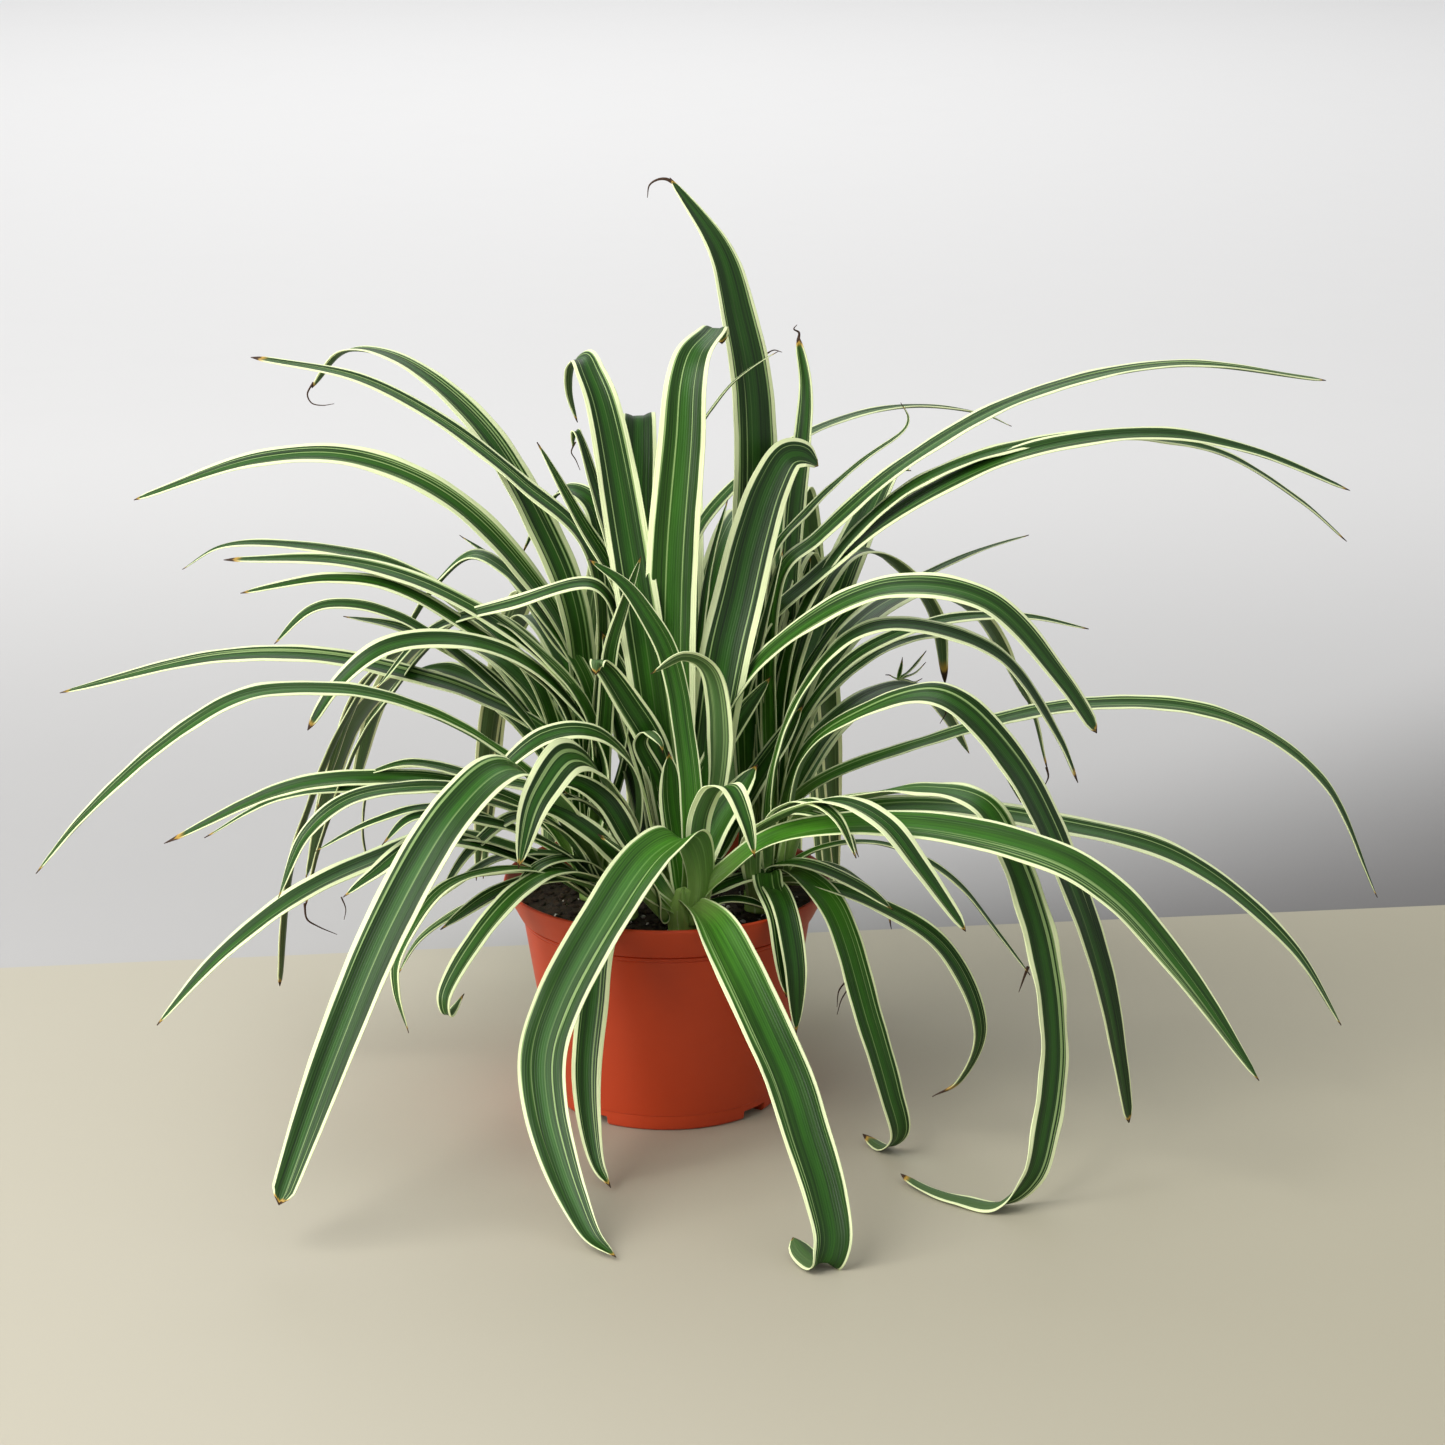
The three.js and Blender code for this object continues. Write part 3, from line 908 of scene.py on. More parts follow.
@dataclass
class Crown:
    """A rosette of blades grown together at its heart."""

    name: str
    x: float
    y: float
    blades: list[Blade]
    extras: list[Blade] = field(default_factory=list)
    blades_per_piece: int = 6

    EXTRA_ROOT: ClassVar[Point] = (3.0, 10.0, 0.0)

    def seed_of(self, order: int) -> int:
        """A seed that differs from blade to blade and from crown to crown."""
        return 7919 * (order + 1) + 31 * int(self.x + 100) + int(self.y + 100)

    def root_of(self, order: int) -> Point:
        """Where a blade starts: the oldest lowest and furthest out, side by side round the heart."""
        age = 1 - order / len(self.blades)
        side = HEART.spread * math.sin(order * GOLDEN_ANGLE)
        (young_out, young_up), (old_out, old_up) = HEART.youngest_root, HEART.oldest_root
        out = young_out + (old_out - young_out) * age
        return (out, old_up + (young_up - old_up) * (1 - age), side)

    def build(self, finish: bpy.types.Material) -> list[bpy.types.Object]:
        """Makes the crown's pieces, a few blades in each, with the heart in the first.

        Args:
            finish: The leaf's material.

        Returns:
            The pieces.
        """
        everyone = [*self.blades, *self.extras]
        pieces = []
        for number, start in enumerate(range(0, len(everyone), self.blades_per_piece)):
            group = everyone[start : start + self.blades_per_piece]
            shell = Shell()
            cells = WHOLE_MAP.split(len(group) + (1 if number == 0 else 0))
            for index, blade in enumerate(group):
                order = start + index
                root = self.root_of(order) if order < len(self.blades) else self.EXTRA_ROOT
                blade.grow(shell, cells[index], root, (self.x, self.y, SOIL_LEVEL), self.seed_of(order))
            if number == 0:
                self._grow_heart(shell, cells[-1])
            piece = shell.piece(f"{self.name}_{number + 1}", finish)
            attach(piece, "root")
            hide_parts(self.name)
            pieces.append(piece)
        log.info("%s: %d blades in %d pieces", self.name, len(everyone), len(pieces))
        return pieces

    def _grow_heart(self, shell: Shell, cell: Cell) -> None:
        """Adds the heart, pleated by the sheaths round it, and the stub below it.

        Args:
            shell: The piece's mesh.
            cell: The heart's strip of the bake map.
        """
        profile = rounded(
            [
                (HEART.axis_gap, -HEART.stub_depth),
                (HEART.stub_radius, -HEART.stub_depth),
                (HEART.stub_radius, HEART.foot_level),
                (HEART.foot_radius, HEART.foot_level + 1),
                (HEART.foot_radius, HEART.foot_level + HEART.height * HEART.shoulder),
                (HEART.top_radius, HEART.foot_level + HEART.height),
                (HEART.axis_gap, HEART.foot_level + HEART.height + 1),
            ],
            HEART.fillet,
        )
        angle = full_turn(HEART.columns)
        level = profile[:, 1:]
        sheath = np.sin(HEART.sheaths / 2 * (angle + HEART.lean * level))
        pleat = np.abs(sheath) * HEART.sheath_depth
        above = smooth_step(level, 0.0, HEART.pleat_rise)
        radius = np.maximum(profile[:, :1] - pleat * above, HEART.least_radius)
        rings = triples(
            self.x + radius * np.cos(angle),
            self.y + radius * np.sin(angle),
            SOIL_LEVEL + level,
        )
        rows = np.linspace(0, 1, len(profile))
        marks = {
            "blade": triples(sheath**2, 0.0, 1.0),
            "grain": triples(angle * HEART.foot_radius, HEART.to_tip - level, self.x),
            "trait": np.broadcast_to([HEART.tone, 0.0, HEART.rim], rings.shape),
        }
        columns = np.linspace(0, 1, HEART.columns + 1)
        shell.add_rings(rings, cell, columns, rows, marks)


@dataclass(frozen=True)
class Wisp:
    """A dried thread of a leaf: a thin curved tube that narrows to its end, in millimetres."""

    points: Sequence[Point]
    thick: float = 0.5
    thin: float = 0.15
    dry: float = 9.0
    columns: int = 8
    ring_step: float = 1.2
    ring_turn: float = 0.3

    # Any fixed direction that no thread runs along, to lay its rings out from.
    ASIDE: ClassVar[Point] = (0.31, 0.87, 0.38)

    def grow(self, shell: Shell, cell: Cell) -> None:
        """Adds the thread to a piece.

        Args:
            shell: The piece's mesh.
            cell: The thread's strip of the bake map.
        """
        line = Keel([np.array(point, dtype=float) for point in self.points])
        shares = line.stations(self.ring_step, self.ring_turn)
        places, ways = line.at(shares)
        aside = np.cross(ways, self.ASIDE)
        aside /= np.linalg.norm(aside, axis=1, keepdims=True)
        above = np.cross(ways, aside)
        angle = full_turn(self.columns)[None, :, None]
        radius = (self.thick + (self.thin - self.thick) * shares)[:, None, None]
        rings = places[:, None] + radius * (aside[:, None] * np.cos(angle) + above[:, None] * np.sin(angle))
        looks = {"blade": (0.1, 0.1, 0.1), "grain": (0.0, 0.0, 3.0), "trait": (0.0, self.dry, 0.1)}
        marks = {name: np.broadcast_to(values, rings.shape) for name, values in looks.items()}
        shell.add_rings(rings, cell, np.linspace(0, 1, self.columns + 1), shares, marks)


@dataclass
class Debris:
    """The dried threads at leaf tips, and a plantlet's tuft of tiny leaves."""

    wisps: Sequence[Wisp]
    tuft_place: Point
    tuft: Sequence[Blade]
    seed: int = 401

    def build(self, finish: bpy.types.Material) -> list[bpy.types.Object]:
        """Makes the pieces.

        Args:
            finish: The leaf's material.

        Returns:
            The pieces.
        """
        threads = Shell()
        for cell, wisp in zip(WHOLE_MAP.split(len(self.wisps)), self.wisps):
            wisp.grow(threads, cell)
        tuft = Shell()
        for index, (cell, blade) in enumerate(zip(WHOLE_MAP.split(len(self.tuft)), self.tuft)):
            blade.grow(tuft, cell, (0.0, 0.0, 0.0), self.tuft_place, self.seed + index)
        pieces = [threads.piece("dried_threads", finish), tuft.piece("plantlet", finish)]
        for piece in pieces:
            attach(piece, "root")
            log.info("%s: %d points", piece.name, len(piece.data.vertices))
        return pieces


# ---- finishes -----------------------------------------------------------------------------------


@dataclass(frozen=True)
class LeafFinish:
    """Satin leaf skin: dark green between cream margins, with fine ribs and a bright keel that is partly a
    paler midrib and partly a painted highlight.
    """

    deep: Colour = (0.0035, 0.017, 0.0012)
    middle: Colour = (0.020, 0.070, 0.007)
    # The keel band's colour: a paler midrib, with a painted highlight along the keel in it.
    keel: Colour = (0.029, 0.145, 0.008)
    bright: Colour = (0.100, 0.350, 0.022)
    line: Colour = (0.350, 0.510, 0.190)
    cream: Colour = (0.880, 0.970, 0.560)
    stalk: Colour = (0.340, 0.520, 0.130)
    underside: Colour = (0.110, 0.190, 0.070)
    yellow: Colour = (0.560, 0.330, 0.050)
    brown: Colour = (0.050, 0.024, 0.012)
    roughness: float = 0.37
    specular: float = 0.29

    def make(self) -> bpy.types.Material:
        """Builds the material from what each blade's mesh carries.

        Returns:
            The material.
        """
        g = Graph("leaf_skin")
        across, along, faces_up = g.attribute("blade")
        aside, to_tip, seed = g.attribute("grain")
        tone, dry, rim = g.attribute("trait")

        ribs = g.noise(g.vector(across * 11, to_tip * 0.004, seed), 1.0, 2.0, 0.65)
        hairs = g.noise(g.vector(aside, to_tip * 0.012, seed + 11), 1.9, 3.0, 0.6)
        threads = g.noise(g.vector(across * 8.5, to_tip * 0.0025, seed + 31), 1.0, 1.0, 0.5)
        clouds = g.noise(g.vector(aside * 0.3, to_tip * 0.03, seed + 57), 1.0, 2.0, 0.5)
        wander = g.noise(g.vector(across * 2.0, to_tip * 0.015, seed + 83), 1.0, 3.0, 0.6)

        edge = abs(across)
        border = 1 - 2 * rim * (0.62 + 0.38 * along.step(0.02, 0.4)) + (wander - 0.5) * 0.16
        cream_share = edge.step(border - 0.02, border + 0.02)

        veins = (aside * 5.7 + clouds * 2.4).sine() * 0.5 + 0.5
        lit = (ribs.step(0.38, 0.60) * 0.45 + hairs.step(0.38, 0.62) * 0.25 + veins * 0.3).clamp()
        green = g.mix(lit, self.deep, self.middle)
        # The keel band is partly the leaf's paler midrib and partly a painted highlight along the keel.
        keel = edge.step(0.36, 0.04) * (clouds * 0.9 + tone * 0.5 + 0.25 - along * 0.3)
        green = g.mix((keel * 0.85).clamp(), green, self.keel)
        lines = (threads + edge * 0.05).step(0.63, 0.67) * edge.step(0.04, 0.25)
        green = g.mix((lines * 0.8).clamp(), green, self.line)
        inner = along.step(0.50, 0.06) * 0.6
        fading = 1.35 - along
        light = (tone * fading * (0.5 + 0.9 * clouds) + inner * (0.35 + 0.9 * clouds)).clamp()
        green = g.mix(light * (0.4 + 0.6 * lit), green, self.bright)
        young = along.step(0.17, 0.02)
        skin = g.mix((young * 0.8).clamp(), green, self.stalk)
        below = 1 - faces_up
        skin = g.mix(below * (0.5 - 0.35 * young), skin, self.underside)
        soiled = (hairs.step(0.5, 0.8) * 0.22 + below * 0.10 + young * 0.5).clamp()
        skin = g.mix(cream_share * (1 - 0.5 * young), skin, g.mix(soiled, self.cream, self.line))

        ragged = to_tip + (wander - 0.5) * 5 - edge * 1.2
        skin = g.mix(ragged.step(dry * 2.2 + 0.4, dry * 1.1), skin, self.yellow)
        withered = ragged.step(dry * 1.35, dry * 0.95 - 0.1)
        skin = g.mix(withered, skin, self.brown)

        rough = self.roughness + hairs * 0.10 + below * 0.10 + withered * 0.25 + cream_share * 0.06
        height = ribs * 0.4 + hairs * 0.3 + veins * 0.3
        return g.surface({
            "Base Color": skin,
            "Roughness": rough.clamp(),
            "Normal": g.bump(height, 0.25, 0.7),
            "Specular IOR Level": self.specular,
        })


@dataclass(frozen=True)
class PotFinish:
    """Satin moulded plastic in terracotta, with faint turning lines and light scuffs."""

    clay: Colour = (0.53, 0.054, 0.012)
    worn: Colour = (0.64, 0.100, 0.034)
    dusk: Colour = (0.44, 0.038, 0.008)
    roughness: float = 0.40
    specular: float = 0.32

    def make(self) -> bpy.types.Material:
        """Builds the material.

        Returns:
            The material.
        """
        g = Graph("pot_plastic")
        place = g.place()
        x, y, z = g.parts(place)
        clouds = g.noise(place, 0.03, 3.0, 0.55)
        lines = g.noise(g.vector(x * 0.01, y * 0.01, z), 1.6, 3.0, 0.6)
        grain = g.noise(place, 2.2, 2.0, 0.6)
        scuffs = g.noise(g.vector(x * 0.12, y * 0.12, z * 0.5), 0.9, 4.0, 0.7).step(0.66, 0.76)
        colour = g.mix((clouds * 0.5 + lines * 0.25).clamp(), self.dusk, self.clay)
        colour = g.mix((0.35 + clouds * 0.6).clamp(), colour, self.clay)
        colour = g.mix(scuffs * 0.25, colour, self.worn)
        rough = self.roughness + clouds * 0.08 + scuffs * 0.12
        return g.surface({
            "Base Color": colour,
            "Roughness": rough.clamp(),
            "Normal": g.bump(lines * 0.6 + grain * 0.4, 0.05, 0.5),
            "Specular IOR Level": self.specular,
        })


@dataclass(frozen=True)
class SoilFinish:
    """Dark damp peat, crumb by crumb."""

    peat: Colour = (0.020, 0.013, 0.009)
    bark: Colour = (0.060, 0.034, 0.018)
    dust: Colour = (0.110, 0.085, 0.060)

    def make(self) -> bpy.types.Material:
        """Builds the material.

        Returns:
            The material.
        """
        g = Graph("potting_soil")
        place = g.place()
        lumps = g.noise(place, 0.35, 4.0, 0.6)
        specks = g.noise(place, 1.8, 3.0, 0.7)
        colour = g.mix(lumps.step(0.35, 0.7), self.peat, self.bark)
        colour = g.mix(specks.step(0.62, 0.75) * 0.6, colour, self.dust)
        return g.surface({
            "Base Color": colour,
            "Roughness": (0.8 + specks * 0.15).clamp(),
            "Normal": g.bump(lumps * 0.5 + specks * 0.5, 0.8, 0.8),
        })


@dataclass(frozen=True)
class PerliteFinish:
    """White expanded perlite with a dusting of soil in its pits."""

    white: Colour = (0.72, 0.70, 0.66)
    dirt: Colour = (0.30, 0.24, 0.18)

    def make(self) -> bpy.types.Material:
        """Builds the material.

        Returns:
            The material.
        """
        g = Graph("perlite")
        place = g.place()
        pits = g.noise(place, 2.5, 3.0, 0.6)
        colour = g.mix(pits.step(0.55, 0.35) * 0.5, self.white, self.dirt)
        return g.surface({
            "Base Color": colour,
            "Roughness": (0.75 + pits * 0.2).clamp(),
            "Normal": g.bump(pits, 0.4, 0.7),
        })


@dataclass(frozen=True)
class PaintedLightAndShade:
    """Painted light and painted shade: a lighter or darker colour that a surface turns to along one
    direction, in millimetres.

    The direction is back times +Y plus across times +X. The turn starts and ends at the levels
    along it that start and end give.
    """

    colour: Colour
    start: float
    end: float
    across: float = 0.0
    back: float = 1.0


@dataclass(frozen=True)
class GroundFinish:
    """A pale, slightly mottled surface, with painted light and painted shade as soft changes of its colour.
    """

    name: str
    base: Colour
    painted_light_and_shade: Sequence[PaintedLightAndShade]
    roughness: float
    mottle: float = 0.06

    def make(self) -> bpy.types.Material:
        """Builds the material.

        Returns:
            The material.
        """
        g = Graph(self.name)
        place = g.place()
        x, y, _ = g.parts(place)
        mottle = g.noise(place, 0.01, 3.0, 0.6)
        grain = g.noise(place, 0.9, 3.0, 0.6)
        blotch = (mottle * 0.7 + grain * 0.3 - 0.5) * self.mottle
        colour: Wire | Colour = self.base
        # Each step paints light or shade: the colour turns lighter or darker along one direction.
        for shade in self.painted_light_and_shade:
            way = (y * shade.back + x * shade.across).step(shade.start, shade.end)
            colour = g.mix((way + blotch).clamp(), colour, shade.colour)
        return g.surface({
            "Base Color": colour,
            "Roughness": (self.roughness + grain * 0.1).clamp(),
            "Normal": g.bump(grain, 0.1, 0.3),
        })


# ---- the pot and its soil -----------------------------------------------------------------------


@dataclass
class Pot:
    """The moulded nursery pot. Lengths are in millimetres and headings in degrees."""

    height: float = 108.0
    rim_radius: float = 77.5
    base_radius: float = 53.5
    wall: float = 2.0
    collar_height: float = 16.0
    collar_foot_radius: float = 70.2
    wall_top_radius: float = 68.6
    bead_height: float = 2.4
    bead_proud: float = 0.7
    floor_level: float = 6.0
    floor_thickness: float = 2.0
    foot_width: float = 7.0
    pad_radius: float = 16.0
    notches: int = 4
    notch_width: float = 15.0
    notch_height: float = 4.5
    notch_heading: float = 50.0
    seam_level: float = 8.0
    seam_depth: float = 0.35
    groove: float = 0.45
    columns: int = 208
    fillet: float = 0.7

    @property
    def collar_foot(self) -> float:
        """The level of the collar's foot."""
        return self.height - self.collar_height

    def wall_radius(self, level: float) -> float:
        """The outer radius of the tapered wall at a level."""
        share = level / self.collar_foot
        return self.base_radius + (self.wall_top_radius - self.base_radius) * share

    def bore_radius(self, level: float) -> float:
        """The inner radius at a level, under the collar and in it."""
        if level <= self.collar_foot:
            return self.wall_radius(level) - self.wall
        share = (level - self.collar_foot) / self.collar_height
        foot = self.wall_radius(self.collar_foot) - self.wall
        return foot + (self.rim_radius - self.wall - foot) * share

    def _profile(self) -> np.ndarray:
        """The outline of the pot's wall, from the middle of its underside to that of its floor."""
        edge = 1.0
        bead_foot = self.collar_foot - self.bead_height
        foot_inner = self.base_radius - self.foot_width
        floor_top = self.floor_level + self.floor_thickness
        corners = [
            (0.2, 0.0),
            (self.pad_radius, 0.0),
            (self.pad_radius + edge, self.floor_level),
            (foot_inner - edge, self.floor_level),
            (foot_inner - 0.1, self.notch_height),
            (foot_inner, 0.0),
            (self.base_radius - edge, 0.0),
            (self.wall_radius(edge), edge),
            (self.wall_radius(self.notch_height), self.notch_height),
            (self.wall_radius(self.seam_level) - self.seam_depth, self.seam_level - 0.4),
            (self.wall_radius(self.seam_level), self.seam_level),
            (self.wall_radius(bead_foot * 0.5), bead_foot * 0.5),
            (self.wall_radius(bead_foot - 0.9), bead_foot - 0.9),
            (self.wall_radius(bead_foot) - self.groove, bead_foot - 0.4),
            (self.wall_radius(bead_foot) + self.bead_proud, bead_foot + 0.3),
            (self.wall_radius(self.collar_foot) + self.bead_proud, self.collar_foot - 0.9),
            (self.wall_radius(self.collar_foot) - self.groove, self.collar_foot - 0.4),
            (self.collar_foot_radius, self.collar_foot + 0.1),
            (self.rim_radius - 0.4, self.height - 2.2),
            (self.rim_radius, self.height - 0.8),
            (self.rim_radius - 0.8, self.height),
            (self.rim_radius - self.wall, self.height - 0.6),
            (self.bore_radius(self.collar_foot), self.collar_foot),
            (self.bore_radius(floor_top), floor_top),
            (0.2, floor_top),
        ]
        return rounded(corners, self.fillet)

    def build(self, finish: bpy.types.Material) -> bpy.types.Object:
        """Makes the pot: a turned wall whose foot ring is lifted at each drain notch.

        Args:
            finish: The pot's material.

        Returns:
            The piece.
        """
        profile = self._profile()
        angles = list(full_turn(self.columns))
        reach = math.asin(self.notch_width / 2 / self.base_radius)
        turn = 2 * math.pi / self.notches
        middles = [math.radians(self.notch_heading) + index * turn for index in range(self.notches)]
        for middle in middles:
            angles += [middle + side * reach * share for side in (-1, 1) for share in (0.985, 1.0)]
        angle = np.array(sorted(angles))
        inside = np.zeros(len(angle), dtype=bool)
        for middle in middles:
            inside |= np.abs(angle - middle) < reach * 0.99
        in_foot = (profile[:, 0] > self.base_radius - self.foot_width - 2) & (profile[:, 1] < 20)
        low = in_foot[:, None] & inside[None] & (profile[:, 1:] < self.notch_height)
        level = np.where(low, self.notch_height, profile[:, 1:])
        rings = triples(profile[:, :1] * np.cos(angle), profile[:, :1] * np.sin(angle), level)
        travel = np.concatenate([[0.0], np.cumsum(np.linalg.norm(np.diff(profile, axis=0), axis=1))])
        shell = Shell()
        columns = np.append(angle, angle[0] + 2 * math.pi) / (2 * math.pi)
        columns = (columns - columns[0]) / (columns[-1] - columns[0])
        shell.add_rings(rings, WHOLE_MAP, columns, travel / travel[-1], {})
        piece = shell.piece("pot_wall", finish)
        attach(piece, "root")
        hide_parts("pot")
        log.info("%s: %d points", piece.name, len(piece.data.vertices))
        return piece


@dataclass
class Soil:
    """The potting soil: a heaped body with its crumbs and perlite, in millimetres."""

    pot: Pot
    level: float = SOIL_LEVEL
    clearance: float = 0.3
    relief: float = 1.3
    slope_start: float = 58.0
    slope_end: float = 71.0
    columns: int = 160
    top_rings: int = 90
    crumbs: int = 1100
    perlite: int = 110
    lump_rings: int = 6
    lump_columns: int = 8
    lump_shelves: int = 8
    seed: int = 11

    def _surface(self, x: float, y: float) -> float:
        """The soil's level at a place."""
        rough = noise.fractal((x * 0.11, y * 0.11, 3.1), 0.9, 2.1, 4)
        fine = noise.noise((x * 0.6, y * 0.6, 9.7))
        edge = smooth_step(math.hypot(x, y), self.slope_start, self.slope_end)
        return self.level + self.relief * (rough + 0.35 * fine) - float(edge)

    def build(self, soil: bpy.types.Material, white: bpy.types.Material) -> list[bpy.types.Object]:
        """Makes the soil's pieces.

        Args:
            soil: The finish of the soil and its crumbs.
            white: The finish of the perlite.

        Returns:
            The pieces.
        """
        pieces = [
            self._body().piece("soil_heap", soil),
            self._scatter(self.crumbs, 0.5, 2.3, self.seed, 0.55).piece("soil_crumbs", soil),
            self._scatter(self.perlite, 0.6, 1.7, self.seed + 1, 0.8).piece("soil_perlite", white),
        ]
        for piece in pieces:
            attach(piece, "root")
            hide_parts("soil")
            log.info("%s: %d points", piece.name, len(piece.data.vertices))
        return pieces

    def _body(self) -> Shell:
        """The heap itself, closed all round, with an uneven top."""
        foot = self.pot.floor_level + self.pot.floor_thickness + self.clearance
        fit = self.pot.bore_radius(self.level - 1.5) - self.clearance
        sides = [
            (0.2, foot),
            (self.pot.bore_radius(foot) - self.clearance, foot),
            (self.pot.bore_radius(self.pot.collar_foot) - self.clearance, self.pot.collar_foot),
            (fit, self.level - 1.5),
        ]
        top = [(radius, None) for radius in np.linspace(fit - 0.6, 0.3, self.top_rings)]
        angle = full_turn(self.columns)
        rings = []
        for radius, level in [*sides, *top]:
            x, y = radius * np.cos(angle), radius * np.sin(angle)
            if level is None:
                z = np.array([self._surface(a, b) for a, b in zip(x, y)])
            else:
                z = level
            rings.append(triples(x, y, z))
        shell = Shell()
        rows = np.concatenate([[0.0, 0.1, 0.2, 0.25], np.linspace(0.26, 1.0, len(top))])
        shell.add_rings(np.array(rings), WHOLE_MAP, np.linspace(0, 1, self.columns + 1), rows, {})
        return shell

    def _scatter(self, count: int, small: float, large: float, seed: int, squash: float) -> Shell:
        """Lumps strewn over the soil.

        Args:
            count: How many.
            small: The least radius.
            large: The greatest.
            seed: What they are drawn from.
            squash: How flat they lie, where 1 is as high as wide.

        Returns:
            The lumps' mesh.
        """
        draw = np.random.default_rng(seed)
        limit = self.pot.bore_radius(self.level) - 2.0
        shell = Shell()
        cells = []
        shelves = self.lump_shelves
        for row in range(shelves):
            shelf = Cell(0.005, 0.995, row / shelves + 0.003, (row + 1) / shelves - 0.003)
            cells += shelf.split(math.ceil(count / shelves))
        rows = np.linspace(0, 1, self.lump_rings)
        columns = np.linspace(0, 1, self.lump_columns + 1)
        turns = full_turn(self.lump_columns)
        polar = np.linspace(0.06, math.pi - 0.06, self.lump_rings)[:, None]
        for index in range(count):
            size = small + (large - small) * draw.random() ** 2.2
            radius = (limit - size) * math.sqrt(draw.random())
            heading = draw.uniform(0, 2 * math.pi)
            x, y = radius * math.cos(heading), radius * math.sin(heading)
            stretch = draw.uniform(0.65, 1.45)
            lump = size * draw.uniform(0.72, 1.15, (self.lump_rings, self.lump_columns))
            flat = np.sin(polar) * lump
            twist = draw.uniform(0, math.pi)
            a, b = flat * np.cos(turns) * stretch, flat * np.sin(turns) / stretch
            c = -np.cos(polar) * lump * squash
            place = np.array([x, y, self._surface(x, y) + size * squash * draw.uniform(-0.1, 0.6)])
            lean = draw.uniform(-0.5, 0.5)
            a, b = turn_pair(a, b, twist)
            a, c = turn_pair(a, c, lean)
            shell.add_rings(place + triples(a, b, c), cells[index], columns, rows, {})
        return shell


# ---- the studio ---------------------------------------------------------------------------------


@dataclass(frozen=True)
class Lamp:
    """A soft lamp: where it stands, what it faces, how large and how strong it is."""

    name: str
    place: Point
    target: Point
    size: float
    power: float
    colour: Colour = (1.0, 1.0, 1.0)

    def build(self) -> None:
        """Hangs the lamp in the scene."""
        light = bpy.data.lights.new(self.name, "AREA")
        light.shape = "DISK"
        light.size = self.size
        light.energy = self.power
        light.color = self.colour
        lamp = add_object(self.name, light)
        lamp.location = self.place
        aim = Vector(self.target) - Vector(self.place)
        lamp.rotation_euler = aim.to_track_quat("-Z", "Y").to_euler()


@dataclass
class Studio:
    """The table and floor, with painted light and painted shade in their colours, the soft lamps and the
    camera, in metres.
    """

    camera_place: Point = (0.0, -1.89554, 0.74592)
    camera_pitch: float = -16.5
    camera_yaw: float = -0.80
    lens: float = 104.79
    sensor: float = 36.0
    clip_end: float = 60.0
    table_edge: tuple[Point, Point] = ((-14.0, -1.415), (14.0, 1.850))
    table_front: float = -14.0
    floor_drop: float = 0.001
    floor_reach: float = 14.0
    lamps: Sequence[Lamp] = (
        Lamp("key", (-1.5, -0.95, 1.9), (0.0, 0.0, 0.15), 2.2, 58.0, (1.0, 0.985, 0.96)),
        Lamp("side", (-2.2, -1.1, 0.5), (0.0, 0.0, 0.08), 1.0, 22.0, (1.0, 0.985, 0.96)),
        Lamp("fill", (1.9, -1.6, 1.2), (0.0, 0.0, 0.15), 1.8, 3.0, (0.97, 0.985, 1.0)),
        Lamp("back", (-0.3, 3.2, 2.5), (-0.3, 3.2, 0.0), 3.0, 44.0),
    )
    sky: Colour = (0.88, 0.885, 0.89)
    sky_strength: float = 0.60

    def aim_camera(self) -> None:
        """Sets the camera."""
        data = bpy.data.cameras.new("camera")
        data.lens = self.lens
        data.sensor_width = self.sensor
        data.clip_end = self.clip_end
        camera = add_object("camera", data)
        camera.location = self.camera_place
        turn = (math.radians(90 + self.camera_pitch), 0.0, math.radians(self.camera_yaw))
        camera.rotation_euler = Euler(turn)
        bpy.context.scene.camera = camera

    def _plane(self, name: str, corners: Sequence[Point], finish: GroundFinish) -> None:
        """Lays one flat surface.

        Args:
            name: Its name.
            corners: Its corners in order, seen from above.
            finish: Its finish.
        """
        mesh = bpy.data.meshes.new(name)
        mesh.from_pydata([tuple(corner) for corner in corners], [], [tuple(range(len(corners)))])
        mesh.materials.append(finish.make())
        ground = add_object(name, mesh)
        ground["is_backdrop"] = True

    def build(self) -> None:
        """Lays the table and the floor, with painted shade and painted light in their colours, and lights
        them.
        """
        left, right = self.table_edge
        front = self.table_front
        table = [(left[0], front, 0.0), (right[0], front, 0.0), (*right, 0.0), (*left, 0.0)]
        # Painted shade: the table top darkens towards the right and the back.
        beige = GroundFinish(
            "table_top",
            (0.495, 0.463, 0.370),
            [PaintedLightAndShade((0.430, 0.399, 0.296), -1300.0, 1500.0, 5.0)],
            0.55,
        )
        self._plane("table", table, beige)
        far = self.floor_reach
        low = -self.floor_drop
        floor = [(-far, -far, low), (far, -far, low), (far, far, low), (-far, far, low)]
        # Painted light and painted shade: the floor brightens in two steps further back, and a painted
        # shadow darkens it towards the right and the front.
        grey = GroundFinish(
            "backdrop",
            (0.475, 0.471, 0.470),
            [
                PaintedLightAndShade((0.735, 0.731, 0.730), 280.0, 1450.0),
                PaintedLightAndShade((0.850, 0.846, 0.845), 1700.0, 4600.0),
                PaintedLightAndShade((0.165, 0.160, 0.159), -430.0, 170.0, 1.0, -1.2),
            ],
            0.8,
        )
        self._plane("floor", floor, grey)
        for lamp in self.lamps:
            lamp.build()
        world = bpy.data.worlds.new("studio")
        world.use_nodes = True
        sky = world.node_tree.nodes["Background"]
        sky.inputs["Color"].default_value = (*self.sky, 1.0)
        sky.inputs["Strength"].default_value = self.sky_strength
        bpy.context.scene.world = world
        bpy.context.scene.view_settings.view_transform = "Standard"
        log.info("studio: table, floor and %d lamps", len(self.lamps))


# ---- the plant's crowns -------------------------------------------------------------------------


# The share of its width that a stubby blade keeps until its point.
STUBBY = 0.45

